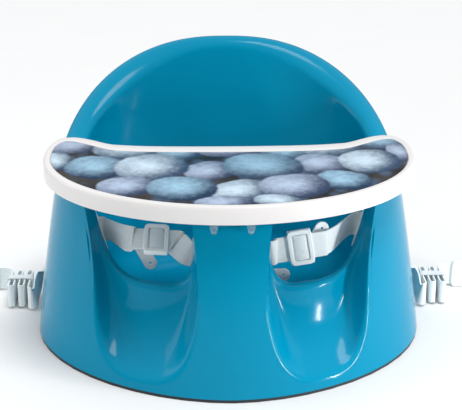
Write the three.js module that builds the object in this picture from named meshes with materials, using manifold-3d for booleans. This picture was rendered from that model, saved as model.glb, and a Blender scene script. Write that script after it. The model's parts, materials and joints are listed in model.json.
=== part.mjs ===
// Chair booster seat: a moulded tub with two leg openings and a front pommel, a lift-off tray that
// plugs into the pommel, a lap harness with a press-button buckle, and straps for the chair below it.
// Millimetres, +Z up, the front towards -Y. The origin is the middle of the base, on the floor.
import * as THREE from 'three';
import { LoftGeometry } from 'three/addons/geometries/LoftGeometry.js';
import { ParametricGeometry } from 'three/addons/geometries/ParametricGeometry.js';
import { mergeVertices } from 'three/addons/utils/BufferGeometryUtils.js';
import Module from 'manifold-3d';

const { degToRad, lerp, clamp } = THREE.MathUtils;

// Clearances
const seatGap = 0.3;
const runningGap = 0.08;

// Seat shell, outside: an oval plan that narrows and moves back with height
const baseHalfWidth = 197.3;
const baseFront = 177;
const baseBack = 174;
const sideDraft = 0.108;
const sideCurve = 0.0002;
const frontDraft = 0.205;
const backDraft = 0.032;
const shellLean = 0.143;
const frontSquareness = 1.83;
const backSquareness = 2.5;
const shellWall = 3.6;

// Rim: level round the pommel, rising gently along the arms and steeply into the backrest
const rimFrontHeight = 155.8;
const armRise = 30;
const rimBackHeight = 262.8;
const rimWidth = 25;
const rimRollHeight = 12.5;
const backrestStart = degToRad(84.7);
const backrestShoulder = 2.23;
const backrestFoot = 1.46;

// Bowl: the seat's inside
const bowlFloorHeight = 48;
const bowlFilletRadius = 28;
const bowlFrontDepth = 106;
const bowlFrontSquareness = 3;
const bowlSideDraft = 0.455;
const bowlSideBend = 165;
const bowlBackDraft = 0.3;
const bowlBackBend = 265;
const bendSoftness = 8;

// Leg openings: a U-shaped gutter on each side of the pommel, from the lip down to the toe
const legMiddle = degToRad(28.6);
const legHalfWidth = degToRad(17.4);
const legSideShift = degToRad(12);
const legToeHeight = 15;
const legRoundness = 3;
const lipMiddle = degToRad(22);
const lipHeight = 91;
const lipRoundness = 3.2;
const lipRoll = 7;
const legEdgeRadius = 5;
const legEdgeDrop = 10;
const legRampSlope = 0.9;
const legFlare = 0.2;
const legFlareStart = 75;
const legFlareSpan = 80;
const legFlareReach = degToRad(70);

// Non-slip ring under the shell's foot
const ringThickness = 3;
const ringWidth = 9;
const ringInset = 0.4;

// Ribs under the bowl
const ribCount = 6;
const ribThickness = 2.4;
const ribBottom = 12;
const ribStart = 20;

// Tray, in its own frame: x across, y back, z square to its plane, the skirt's edge at z = 0
const trayTilt = degToRad(5.7);
const traySkirtHeight = 17.5;
const traySkirtWall = 3;
const trayTopThickness = 3.2;
const trayHalfWidth = 179;
const trayFront = 41.5;
const trayWidestBack = 82;
const trayRearMiddle = 104.5;
const trayRimWidth = 7;
const printRecess = 1.6;
const printThickness = 1;

// Peg that plugs the tray into the pommel
const pegWidth = 36;
const pegDepth = 13;
const pegLength = 44;
const pegPlay = 0.8;
const pegCollarWidth = 46;
const pegCollarDepth = 20;
const pegCollarDrop = 3;
const pocketWall = 2.6;

// Release tabs in their housing under the tray's front
const housingWidth = 66;
const housingDepth = 18;
const housingHeight = 10;
const housingSetback = 27;
const tabSpacing = 33.6;
const tabWidth = 9.5;
const tabTipWidth = 5.6;
const tabThickness = 2.6;
const tabLength = 24.5;
const tabShoulder = 13;
const tabKnuckleRadius = 2.7;
const tabEyeRadius = 1.1;
const tabPinRadius = 1.5;
const tabPinLength = 16;
const pinSides = 16;
const tabSwingRoom = 3;

// Webbing and its fittings
const webbingWidth = 25;
const webbingThickness = 1.6;
const sliderLength = 24;
const sliderHeight = 35;
const sliderDepth = 5.8;
const sliderBar = 4.2;
const strapTabLength = 47;
const strapTabWidth = 13;
const strapTabThickness = 2.2;
const strapTabEye = 1.2;

// Buckle on the crotch strap
const buckleWidth = 44;
const buckleHeight = 34;
const buckleDepth = 13;
const tongueThickness = 2.4;
const tongueHeadWidth = 14;
const tongueInside = 12;
const buttonWidth = 16;
const buttonHeight = 14;
const buttonProud = 1;
const anchorPlateWidth = 15;
const anchorPlateThickness = 3;

// Straps that tie the seat to the chair, folded beside it
const chairSlotAzimuth = degToRad(105.2);
const chairSlotHeight = 40;
const adjusterLength = 32;

// Screws
const screwHeadRadius = 3.6;
const screwHeadHeight = 2;
const screwShankRadius = 1.6;
const screwSides = 8;

const wasm = await Module();
wasm.setup();

// Finishes
const finish = (color, roughness) => new THREE.MeshStandardMaterial({ color, roughness, metalness: 0 });
const blueShell = finish(0x0091be, 0.15);
const darkGrip = finish(0x2b3338, 0.8);
const whiteTray = finish(0xf4f3f1, 0.3);
const printSheet = finish(0x3a4a66, 0.35);
const clearPlastic = finish(0xdfe8ea, 0.1);
const whiteWebbing = finish(0xe4e8e8, 0.9);
const paleFitting = finish(0xd5dedd, 0.35);
const greyButton = finish(0x9aa5a8, 0.4);
const steel = new THREE.MeshStandardMaterial({ color: 0xb8bcc0, roughness: 0.3, metalness: 1 });

const seat = new THREE.Group();

// Closed-mesh helpers

function closedMesh(geometry) {
  const bare = new THREE.BufferGeometry();
  bare.setAttribute('position', geometry.getAttribute('position').clone());
  if (geometry.index) bare.setIndex(geometry.index.clone());
  const merged = mergeVertices(bare, 1e-4);
  const corners = merged.index.array;
  const kept = [];
  for (let i = 0; i < corners.length; i += 3) {
    const [a, b, c] = [corners[i], corners[i + 1], corners[i + 2]];
    if (a !== b && b !== c && c !== a) kept.push(a, b, c);
  }
  merged.setIndex(kept);
  return merged;
}

function toSolid(geometry) {
  const merged = closedMesh(geometry);
  const vertProperties = new Float32Array(merged.getAttribute('position').array);
  const triVerts = new Uint32Array(merged.index.array);
  return new wasm.Manifold(new wasm.Mesh({ numProp: 3, vertProperties, triVerts }));
}

function toGeometry(solid) {
  const mesh = solid.getMesh();
  const geometry = new THREE.BufferGeometry();
  geometry.setAttribute('position', new THREE.BufferAttribute(new Float32Array(mesh.vertProperties), 3));
  geometry.setIndex(new THREE.BufferAttribute(new Uint32Array(mesh.triVerts), 1));
  geometry.computeVertexNormals();
  return geometry;
}

function cut(body, ...tools) {
  return tools.reduce((rest, tool) => rest.subtract(toSolid(tool)), toSolid(body));
}

function addMesh(parent, name, geometry, material) {
  const mesh = new THREE.Mesh(geometry, material);
  mesh.name = name;
  parent.add(mesh);
  return mesh;
}

function boxAt(width, depth, height, x, y, z) {
  return new THREE.BoxGeometry(width, depth, height).translate(x, y, z);
}

function roundedRectangle(width, height, radius) {
  const [w, h] = [width / 2, height / 2];
  const shape = new THREE.Shape();
  shape.absarc(w - radius, -h + radius, radius, -Math.PI / 2, 0);
  shape.absarc(w - radius, h - radius, radius, 0, Math.PI / 2);
  shape.absarc(-w + radius, h - radius, radius, Math.PI / 2, Math.PI);
  shape.absarc(-w + radius, -h + radius, radius, Math.PI, Math.PI * 1.5);
  shape.closePath();
  return shape;
}

// A plate with the shape in x and y, from z = 0 up
function plate(shape, thickness, curveSegments = 4) {
  return new THREE.ExtrudeGeometry(shape, { depth: thickness, bevelEnabled: false, curveSegments });
}

function screwGeometry(shankLength) {
  const profile = [
    [0, 0],
    [screwHeadRadius * 0.8, 0],
    [screwHeadRadius, -screwHeadHeight * 0.4],
    [screwHeadRadius, -screwHeadHeight],
    [screwShankRadius, -screwHeadHeight],
    [screwShankRadius, -screwHeadHeight - shankLength],
    [0, -screwHeadHeight - shankLength],
  ];
  const points = profile.reverse().map(([radius, height]) => new THREE.Vector2(radius, height));
  return new THREE.LatheGeometry(points, screwSides).rotateX(Math.PI / 2);
}

// A hole for a screw whose head's top is at z = 0, wider than the screw by the gap
function screwHole(depth, headRoom) {
  const shank = new THREE.CylinderGeometry(
    screwShankRadius + seatGap, screwShankRadius + seatGap, depth, screwSides,
  ).rotateX(Math.PI / 2).translate(0, 0, -depth / 2);
  const head = new THREE.CylinderGeometry(
    screwHeadRadius + seatGap, screwHeadRadius + seatGap, screwHeadHeight + headRoom, screwSides,
  ).rotateX(Math.PI / 2).translate(0, 0, (headRoom - screwHeadHeight - seatGap) / 2);
  return [shank, head];
}

// Seat shell

const signedPower = (value, power) => Math.sign(value) * Math.abs(value) ** power;
const softStep = (value) => bendSoftness * Math.log1p(Math.exp(value / bendSoftness));
const shellFoot = ringThickness + seatGap;

function outerPoint(azimuth, height) {
  const rise = Math.max(height - legFlareStart, 0) / legFlareSpan;
  const turned = azimuth * (1 + legFlare * rise ** 2 * Math.exp(-((azimuth / legFlareReach) ** 4)));
  const atFront = Math.cos(turned) > 0;
  const middle = shellLean * height;
  const halfWidth = baseHalfWidth - sideDraft * height - sideCurve * height ** 2;
  const depth = atFront ? baseFront - frontDraft * height + middle : baseBack - backDraft * height - middle;
  const power = 2 / (atFront ? frontSquareness : backSquareness);
  const x = halfWidth * signedPower(Math.sin(turned), power);
  const y = middle - depth * signedPower(Math.cos(turned), power);
  return new THREE.Vector3(x, y, height);
}

function innerPoint(azimuth, height) {
  const side = Math.abs(azimuth);
  const shift = side < Math.PI / 2 ? legSideShift * Math.sin(2 * side) : 0;
  const turned = azimuth + Math.sign(azimuth) * shift;
  const middle = shellLean * height;
  const outerHalfWidth = baseHalfWidth - sideDraft * height - sideCurve * height ** 2;
  const halfWidth = outerHalfWidth - rimWidth - bowlSideDraft * softStep(bowlSideBend - height);
  const backWall = rimWidth + bowlBackDraft * softStep(bowlBackBend - height);
  const atFront = Math.cos(turned) > 0;
  const depth = atFront ? bowlFrontDepth + middle : baseBack - backDraft * height - backWall - middle;
  const squareness = atFront ? bowlFrontSquareness : backSquareness;
  const across = Math.abs(Math.sin(turned)) / halfWidth;
  const along = Math.abs(Math.cos(turned)) / depth;
  const radius = (across ** squareness + along ** squareness) ** (-1 / squareness);
  return new THREE.Vector3(radius * Math.sin(turned), middle - radius * Math.cos(turned), height);
}

function rimHeight(azimuth) {
  const side = Math.abs(azimuth);
  const arm = rimFrontHeight + armRise * Math.sin(side / 2) ** 2;
  const climb = clamp((side - backrestStart) / (Math.PI - backrestStart), 0, 1);
  const backrest = (1 - (1 - climb) ** backrestShoulder) ** backrestFoot;
  return arm + (rimBackHeight - rimFrontHeight - armRise) * backrest;
}

// How far up the side of a U-shaped opening a place across it lies: 0 at the bottom, 1 at its edges
function gutterSide(across, roundness) {
  const place = Math.min(Math.abs(across), 1);
  return 1 - (1 - place ** roundness) ** (1 / roundness);
}

function wallColumn(azimuth) {
  const fromMiddle = Math.abs(azimuth) - legMiddle;
  const across = fromMiddle / legHalfWidth;
  const edgeTurn = legEdgeRadius / baseHalfWidth;
  const rim = rimHeight(azimuth);
  const side = gutterSide(across, legRoundness);
  const full = side ** 4;
  const outsetSide = gutterSide(fromMiddle / (legHalfWidth + edgeTurn), legRoundness);
  const top = rim - legEdgeDrop;
  const fromLipMiddle = Math.abs(azimuth) - lipMiddle;
  const lipEdge = legMiddle + Math.sign(fromLipMiddle) * legHalfWidth;
  const lipSide = gutterSide(fromLipMiddle / (lipEdge - lipMiddle), lipRoundness);
  const rollBase = lerp(lipHeight - lipRoll, rim, lipSide);
  const thickness = outerPoint(azimuth, rollBase).distanceTo(innerPoint(azimuth, rollBase));
  return {
    azimuth,
    thickness,
    rollBase,
    edge: lerp(legToeHeight, top, side),
    edgeStart: lerp(legToeHeight - legEdgeRadius, top - legEdgeRadius, outsetSide),
    rollHalf: lerp(lipRoll / thickness, 0.5, full),
    rollHeight: lerp(lipRoll, rimRollHeight, full),
  };
}

// A place in the wall: 0 is the outside, 1 the inside of the bowl
function wallPoint(azimuth, inward, height) {
  return outerPoint(azimuth, height).lerp(innerPoint(azimuth, height), inward);
}

function rampPoint(column, t) {
  const { edge, rollBase, rollHalf, thickness } = column;
  const reach = 1 - 2 * rollHalf;
  const curve = new THREE.CubicBezierCurve(
    new THREE.Vector2(0, edge),
    new THREE.Vector2(0.4 * reach, edge + 0.4 * reach * thickness * legRampSlope),
    new THREE.Vector2(reach, (edge + rollBase) / 2),
    new THREE.Vector2(reach, rollBase),
  );
  return curve.getPoint(t);
}

// The whole upper surface, stage by stage: outside wall, edge of the gutter, ramp, rolled rim or
// lip, bowl wall, fillet and floor
const edgeEnd = 0.16;
function shellPoint(azimuth, stage) {
  const column = wallColumn(azimuth);
  const part = Math.min(Math.floor(stage), 6);
  const t = stage - part;
  const ramp = (s) => rampPoint(column, s);
  if (part <= 0) return wallPoint(azimuth, 0, lerp(shellFoot, column.edgeStart, stage));
  if (part === 1) {
    const end = ramp(edgeEnd);
    const bend = new THREE.QuadraticBezierCurve(
      new THREE.Vector2(0, column.edgeStart), new THREE.Vector2(0, column.edge), end,
    ).getPoint(t);
    return wallPoint(azimuth, bend.x, bend.y);
  }
  if (part === 2) {
    const place = ramp(lerp(edgeEnd, 1, t));
    return wallPoint(azimuth, place.x, place.y);
  }
  if (part === 3) {
    const angle = Math.PI * t;
    const inward = 1 - column.rollHalf * (1 + Math.cos(angle));
    return wallPoint(azimuth, inward, column.rollBase + column.rollHeight * Math.sin(angle));
  }
  const filletTop = bowlFloorHeight + bowlFilletRadius;
  if (part === 4) return innerPoint(azimuth, lerp(column.rollBase, filletTop, t));
  const middle = new THREE.Vector3(0, shellLean * filletTop, bowlFloorHeight);
  const wall = innerPoint(azimuth, filletTop);
  const spread = 1 - bowlFilletRadius / bowlFrontDepth;
  if (part === 5) {
    const angle = t * Math.PI / 2;
    const place = middle.clone().lerp(wall, lerp(1, spread, 1 - Math.cos(angle)));
    return place.setZ(filletTop - bowlFilletRadius * Math.sin(angle));
  }
  return middle.clone().lerp(wall, spread * (1 - t)).setZ(bowlFloorHeight);
}

// Azimuths of the shell's columns, closest together where the gutters' sides stand
function shellColumns(legSteps, restSteps) {
  const edgeTurn = legEdgeRadius / baseHalfWidth;
  const half = [legMiddle - legHalfWidth - edgeTurn, legMiddle - legHalfWidth - edgeTurn / 2];
  for (let i = -legSteps; i <= legSteps; i++) {
    const around = (i / legSteps) * Math.PI / 2;
    half.push(legMiddle + legHalfWidth * signedPower(Math.sin(around), 2 / legRoundness));
  }
  const armStart = legMiddle + legHalfWidth + edgeTurn;
  half.push(armStart - edgeTurn / 2);
  for (let i = 0; i < restSteps; i++) half.push(lerp(armStart, Math.PI, i / restSteps));
  const left = half.map((azimuth) => -azimuth).reverse();
  return [...left, 0, ...half, Math.PI];
}

// The shell's surface as rows of points, one row for each stage
function surfaceRows(columns, stages) {
  return stages.map((stage) => columns.map((azimuth) => shellPoint(azimuth, stage)));
}

// The same rows, set back into the wall by the wall's thickness
function liningRows(rows) {
  const columns = rows[0].length;
  const facing = (i, j) => {
    const next = (j + 1) % columns;
    const rising = rows[i + 1][next].clone().sub(rows[i][j]);
    return rising.cross(rows[i + 1][j].clone().sub(rows[i][next])).normalize();
  };
  return rows.map((row, i) => row.map((point, j) => {
    const outward = new THREE.Vector3();
    for (const level of [i - 1, i]) {
      if (level < 0 || level > rows.length - 2) continue;
      outward.add(facing(level, j)).add(facing(level, (j + columns - 1) % columns));
    }
    return point.clone().addScaledVector(outward.normalize(), -shellWall);
  }));
}

// A closed solid whose upper surface is the given rows, over a flat bottom
function rowSolid(rows, bottom) {
  const middle = new THREE.Vector3(0, shellLean * (bowlFloorHeight + bowlFilletRadius), 0);
  const top = rows.at(-1)[0].z;
  const columns = rows[0].length;
  const place = (u, v, target) => {
    const row = Math.round(v * (rows.length + 1)) - 1;
    if (row < 0) return target.copy(middle).setZ(bottom);
    if (row === rows.length) return target.copy(middle).setZ(top);
    target.copy(rows[row][Math.round(u * columns) % columns]);
    return row === 0 ? target.setZ(bottom) : target;
  };
  return toSolid(new ParametricGeometry(place, columns, rows.length + 1));
}

const shellStages = [0, 0.35, 0.7, 1, 1.5, 2, 2.4, 2.75, 3, 3.2, 3.4, 3.6, 3.8, 4, 4.33, 4.67, 5, 5.33, 5.67, 6];
const liningSteps = [0, 2, 3, 4, 5, 6, 7, 8, 10, 11, 13, 14, 15, 16, 17, 18, 19];

// Stacks and sweeps

// An outline set inwards by the given distance, square to its edge
function insetOutline(outline, inset) {
  return outline.map((point, i) => {
    const before = outline[(i + outline.length - 1) % outline.length];
    const after = outline[(i + 1) % outline.length];
    const edge = after.clone().sub(before).normalize();
    return new THREE.Vector2(point.x - edge.y * inset, point.y + edge.x * inset);
  });
}

// A closed solid through levels of an outline, each level an inset and a height
function stack(outline, levels, centre = new THREE.Vector2()) {
  const rows = levels.map(([inset]) => insetOutline(outline, inset));
  const place = (u, v, target) => {
    const row = Math.round(v * (levels.length + 1)) - 1;
    if (row < 0) return target.set(centre.x, centre.y, levels[0][1]);
    if (row === levels.length) return target.set(centre.x, centre.y, levels.at(-1)[1]);
    const point = rows[row][Math.round(u * outline.length) % outline.length];
    return target.set(point.x, point.y, levels[row][1]);
  };
  return new ParametricGeometry(place, outline.length, levels.length + 1);
}

function roundedOutline(width, height, radius, curveSegments = 3) {
  return roundedRectangle(width, height, radius).extractPoints(curveSegments).shape.slice(0, -1);
}

// Webbing swept along points, each with the direction that its width lies in
function webbing(points, widthAxes) {
  const sections = points.map((point, i) => {
    const along = points[Math.min(i + 1, points.length - 1)].clone().sub(points[Math.max(i - 1, 0)]).normalize();
    const across = widthAxes[i].clone().addScaledVector(along, -widthAxes[i].dot(along)).normalize();
    const face = along.clone().cross(across);
    return [[1, -1], [1, 1], [-1, 1], [-1, -1]].map(([w, f]) => point.clone()
      .addScaledVector(across, w * webbingWidth / 2)
      .addScaledVector(face, f * webbingThickness / 2));
  });
  return new LoftGeometry(sections, { capStart: true, capEnd: true });
}

const vectors = (rows) => rows.map((row) => new THREE.Vector3(...row));

// A body's holes, cut and turned back into a geometry
function carved(body, ...tools) {
  return toGeometry(cut(body, ...tools));
}

// A frame on the bowl's wall: z out of the wall into the bowl, y up along it
function wallFrame(azimuth, height) {
  const spot = innerPoint(azimuth, height);
  const up = innerPoint(azimuth, height + 1).sub(spot).normalize();
  const round = innerPoint(azimuth + 0.01, height).sub(innerPoint(azimuth - 0.01, height)).normalize();
  const normal = up.clone().cross(round).normalize();
  const inward = normal.dot(new THREE.Vector3(-spot.x, -spot.y, 0)) > 0 ? normal : normal.negate();
  const side = up.clone().cross(inward).normalize();
  return new THREE.Matrix4().makeBasis(side, up, inward).setPosition(spot);
}

// The tray's frame, which the pommel's pocket shares
const tray = new THREE.Group();
tray.position.set(0, -124, 173.1);
tray.rotation.x = trayTilt;
tray.updateMatrixWorld(true);

// Seat shell with the pocket, slots and screw holes

const anchorAzimuth = degToRad(54);
const anchorFrames = {
  left: wallFrame(-anchorAzimuth, 121),
  right: wallFrame(anchorAzimuth, 124),
};
const anchorScrewSpan = 18.3;
const crotchAnchor = new THREE.Vector3(8, -58, bowlFloorHeight + seatGap);
const crotchScrewSpan = 20;

function chairSlotFrame(side) {
  const azimuth = side * chairSlotAzimuth;
  const spot = outerPoint(azimuth, chairSlotHeight);
  const round = outerPoint(azimuth + 0.01, chairSlotHeight).sub(spot).normalize();
  const up = new THREE.Vector3(0, 0, 1);
  const out = round.clone().cross(up).normalize();
  if (out.x * side < 0) out.negate();
  const along = up.clone().cross(out).normalize();
  return new THREE.Matrix4().makeBasis(along, up, out).setPosition(spot);
}

const chairFrames = { left: chairSlotFrame(-1), right: chairSlotFrame(1) };
const slotWidth = webbingWidth + 2.4;
const slotHeight = webbingThickness + 2;

function buildShell() {
  const rows = surfaceRows(shellColumns(7, 11), shellStages);
  const outside = rowSolid(rows, shellFoot);
  const lining = liningRows(rows);
  let hollow = rowSolid(liningSteps.map((step) => lining[step]), shellFoot - 1);
  const deep = rowSolid(rows, shellFoot - 5);
  const least = shellWall / 2;
  const shifts = [[least, 0, 0], [-least, 0, 0], [0, least, 0], [0, -least, 0], [0, 0, -least]];
  for (const shift of shifts) hollow = hollow.intersect(deep.translate(shift));
  let body = outside.subtract(hollow);
  for (let i = 0; i < ribCount; i++) {
    const rib = boxAt(baseHalfWidth, ribThickness, bowlFloorHeight - ribBottom, baseHalfWidth / 2 + ribStart, 0, 0)
      .translate(0, 0, (bowlFloorHeight + ribBottom) / 2 - 1)
      .rotateZ(((i + 0.5) / ribCount) * Math.PI * 2);
    body = body.add(outside.intersect(toSolid(rib)));
  }
  const pocketWidth = pegWidth + 2 * pegPlay;
  const pocketDepth = pegDepth + 2 * pegPlay;
  const boss = stack(roundedOutline(pocketWidth + 2 * pocketWall, pocketDepth + 2 * pocketWall, 4), [
    [0, -pegLength - pegPlay - pocketWall],
    [0, -pegCollarDrop],
  ]).applyMatrix4(tray.matrixWorld);
  const pocket = stack(roundedOutline(pocketWidth, pocketDepth, 2), [
    [0, -pegLength - pegPlay],
    [0, 5],
  ]).applyMatrix4(tray.matrixWorld);
  body = body.add(toSolid(boss)).subtract(toSolid(pocket));
  for (const frame of Object.values(anchorFrames)) {
    const tools = [boxAt(slotHeight, slotWidth, 14, 0, 0, -3)];
    for (const side of [-1, 1]) {
      tools.push(new THREE.CylinderGeometry(screwShankRadius + seatGap, screwShankRadius + seatGap, 16, screwSides)
        .rotateX(Math.PI / 2).translate(0, side * anchorScrewSpan, -3));
    }
    for (const tool of tools) body = body.subtract(toSolid(tool.applyMatrix4(frame)));
  }
  for (const frame of Object.values(chairFrames)) {
    body = body.subtract(toSolid(boxAt(webbingWidth + 0.7, webbingThickness + 0.7, 20, 0, 0, 0).applyMatrix4(frame)));
  }
  const floorTools = [boxAt(slotWidth, slotHeight, 14, 0, 0, 0)];
  for (const side of [-1, 1]) {
    floorTools.push(new THREE.CylinderGeometry(
      screwShankRadius + seatGap, screwShankRadius + seatGap, 14, screwSides,
    ).rotateX(Math.PI / 2).translate(side * crotchScrewSpan, 0, 0));
  }
  for (const tool of floorTools) {
    body = body.subtract(toSolid(tool.translate(crotchAnchor.x, crotchAnchor.y, crotchAnchor.z)));
  }
  return body;
}

addMesh(seat, 'seat_shell', toGeometry(buildShell()), blueShell);

// Base ring

const footSides = 48;
const footOutline = Array.from({ length: footSides }, (_, i) => {
  const point = outerPoint((i / footSides) * Math.PI * 2 - Math.PI, shellFoot);
  return new THREE.Vector2(point.x, point.y);
});
addMesh(seat, 'base_ring', carved(
  stack(footOutline, [[ringInset, 0], [ringInset, ringThickness]]),
  stack(footOutline, [[ringInset + ringWidth, -1], [ringInset + ringWidth, ringThickness + 1]]),
), darkGrip);

// Tray

const trayWings = [
  [176, 112], [168, 127], [156.5, 131.5], [144.6, 128.8], [132, 122], [119.5, 114], [107, 110], [71, 106],
];
const trayOutline = [];
for (let i = 0; i <= 26; i++) {
  const around = -Math.PI + (i / 26) * Math.PI;
  trayOutline.push(new THREE.Vector2(
    trayHalfWidth * Math.cos(around),
    trayWidestBack + (trayWidestBack + trayFront) * Math.sin(around),
  ));
}
for (const [x, y] of trayWings) trayOutline.push(new THREE.Vector2(x, y));
trayOutline.push(new THREE.Vector2(0, trayRearMiddle));
for (const [x, y] of [...trayWings].reverse()) trayOutline.push(new THREE.Vector2(-x, y));
const trayHeart = new THREE.Vector2(0, 20);
const recessFloor = traySkirtHeight - printRecess;
const trayCeiling = traySkirtHeight - trayTopThickness - 0.8;
const padBottom = trayCeiling - 3;

const padWidth = 70;
const padDepth = 54;
const padMiddle = -12;

// The tray rests on the arms by a pad at each side
const restPadBack = 82;
const restPadSize = 14;

function restPad(side) {
  const toTray = new THREE.Matrix4().copy(tray.matrixWorld).invert();
  const crests = [];
  for (let turn = 40; turn <= 90; turn += 0.5) {
    const azimuth = side * degToRad(turn);
    const column = wallColumn(azimuth);
    crests.push(wallPoint(azimuth, 0.5, column.rollBase + column.rollHeight).applyMatrix4(toTray));
  }
  const under = crests.filter(({ y }) => Math.abs(y - restPadBack) < restPadSize * 0.65);
  const fromMiddle = ({ y }) => Math.abs(y - restPadBack);
  const middle = under.reduce((near, crest) => (fromMiddle(crest) < fromMiddle(near) ? crest : near));
  const bottom = Math.max(...under.map(({ z }) => z)) + seatGap;
  const height = trayCeiling + 1 - bottom;
  return boxAt(restPadSize, restPadSize, height, middle.x, middle.y, bottom + height / 2);
}

function buildTrayTop() {
  let body = toSolid(stack(trayOutline, [
    [0.6, 0],
    [0, 1],
    [0, 14],
    [0.8, 16.2],
    [2.6, traySkirtHeight],
    [trayRimWidth - 0.8, traySkirtHeight],
    [trayRimWidth, traySkirtHeight - 0.7],
    [trayRimWidth + 0.2, recessFloor],
  ], trayHeart));
  body = body.subtract(toSolid(stack(trayOutline, [
    [traySkirtWall, -1],
    [traySkirtWall, trayCeiling],
  ], trayHeart)));
  body = body.add(toSolid(boxAt(padWidth, padDepth, 4, 0, padMiddle, padBottom + 2)));
  for (const side of [-1, 1]) body = body.add(toSolid(restPad(side)));
  for (const side of [-1, 1]) {
    for (const tool of screwHole(20, 3)) {
      body = body.subtract(toSolid(tool.translate(side * 12, 0, recessFloor - 0.1)));
    }
    body = body.subtract(toSolid(new THREE.CylinderGeometry(
      screwShankRadius + seatGap, screwShankRadius + seatGap, 8, screwSides,
    ).rotateX(Math.PI / 2).translate(side * 6, -housingSetback, padBottom)));
  }
  return toGeometry(body);
}

addMesh(tray, 'tray_top', buildTrayTop(), whiteTray);
const printFloor = recessFloor + seatGap;
addMesh(tray, 'print_insert', closedMesh(stack(trayOutline, [
  [trayRimWidth + 0.6, printFloor],
  [trayRimWidth + 0.6, printFloor + printThickness],
], trayHeart)), printSheet);

// Tray peg and its screws

const collarTop = padBottom - seatGap;
const collarBottom = -pegCollarDrop + seatGap;
const pegSolid = toSolid(stack(roundedOutline(pegCollarWidth, pegCollarDepth, 4), [
  [0, collarBottom],
  [0, collarTop],
])).add(toSolid(stack(roundedOutline(pegWidth, pegDepth, 2), [
  [1.5, -pegLength + 1],
  [0, -pegLength + 5],
  [0, collarTop - 4],
])));
let peg = pegSolid;
for (const side of [-1, 1]) {
  peg = peg.subtract(toSolid(new THREE.CylinderGeometry(
    screwShankRadius + seatGap, screwShankRadius + seatGap, 16, screwSides,
  ).rotateX(Math.PI / 2).translate(side * 12, 0, collarTop - 2)));
}
addMesh(tray, 'tray_peg', toGeometry(peg), whiteTray);
const sides = [['left', -1], ['right', 1]];
for (const [name, side] of sides) {
  addMesh(tray, `peg_screw_${name}`, closedMesh(screwGeometry(12).translate(side * 12, 0, recessFloor - 0.1)), steel);
}

// Latch housing, release tabs and their pins

const housingTop = padBottom - seatGap;
const housingBottom = housingTop - housingHeight + 1;
const pinHeight = housingTop - 3.7;
const tabMiddle = -housingSetback;
const tabTop = pinHeight + tabKnuckleRadius + 0.1;

let housing = toSolid(boxAt(housingWidth, housingDepth, housingTop - housingBottom,
  0, -housingSetback, (housingTop + housingBottom) / 2));
for (const [, side] of sides) {
  const across = side * tabSpacing / 2;
  housing = housing.subtract(toSolid(boxAt(tabWidth + 0.6, tabThickness + 2 * tabSwingRoom, 20, across, tabMiddle, pinHeight)));
  housing = housing.subtract(toSolid(new THREE.CylinderGeometry(
    tabPinRadius + runningGap, tabPinRadius + runningGap, tabPinLength + 1, pinSides,
  ).rotateZ(Math.PI / 2).translate(across, tabMiddle, pinHeight)));
  for (const tool of screwHole(20, 3)) {
    housing = housing.subtract(toSolid(tool.rotateX(Math.PI).translate(side * 6, -housingSetback, housingBottom + 0.1)));
  }
}
addMesh(tray, 'latch_housing', toGeometry(housing), whiteTray);
for (const [name, side] of sides) {
  const across = side * tabSpacing / 2;
  const tip = tabTop - tabLength + tabTipWidth / 2;
  const outline = new THREE.Shape();
  outline.moveTo(tabWidth / 2, tabTop - 0.8);
  outline.lineTo(tabWidth / 2, tabTop - tabShoulder);
  outline.lineTo(tabTipWidth / 2, tip);
  outline.absarc(0, tip, tabTipWidth / 2, 0, -Math.PI, true);
  outline.lineTo(-tabWidth / 2, tabTop - tabShoulder);
  outline.lineTo(-tabWidth / 2, tabTop - 0.8);
  outline.closePath();
  const eye = new THREE.Path();
  eye.absarc(0, tip, tabEyeRadius, 0, Math.PI * 2, false);
  outline.holes.push(eye);
  const blade = plate(outline, tabThickness, 5).translate(0, 0, -tabThickness / 2).rotateX(Math.PI / 2);
  const atPin = (radius, length) => new THREE.CylinderGeometry(radius, radius, length, pinSides)
    .rotateZ(Math.PI / 2).translate(0, 0, pinHeight);
  const knuckle = toSolid(atPin(tabKnuckleRadius, tabWidth));
  const bore = toSolid(atPin(tabPinRadius + runningGap, tabWidth + 2));
  const tab = toSolid(blade).add(knuckle).subtract(bore);
  addMesh(tray, `release_tab_${name}`, toGeometry(tab).translate(across, tabMiddle, 0), clearPlastic);
  const pin = closedMesh(atPin(tabPinRadius, tabPinLength)).translate(across, tabMiddle, 0);
  addMesh(tray, `tab_pin_${name}`, pin, steel);
  addMesh(tray, `housing_screw_${name}`, closedMesh(screwGeometry(10).rotateX(Math.PI)
    .translate(side * 6, -housingSetback, housingBottom + 0.1)), steel);
}
seat.add(tray);

// Lap straps: from the cheek's slot, along a straight stretch under the slider, round the tongue's bar.
// The left one has fallen back and lies nearly flat.

const buckleMiddle = new THREE.Vector3(0, -82, 111.5);
const strapRuns = {
  left: { start: 88, end: 56, y: -79, outer: 125.5, inner: 123.6, lean: degToRad(60), sag: 5, slider: 71 },
  right: { start: 87, end: 46, y: -80, outer: 119, inner: 112.5, lean: degToRad(4), sag: -2, slider: 67.3 },
};
const strapStub = 6;
const bendSteps = 7;
const twistSteps = 4;
const tongueLoop = [
  [15.5, -3], [12.2, -3], [9.6, -2.4], [8.5, -1.2], [8.3, 0.4], [8.7, 1.8], [10, 2.7], [12.4, 2.9], [14.5, 2.8],
];

function leaning(angle) {
  return new THREE.Vector3(0, Math.sin(angle), Math.cos(angle));
}

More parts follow.
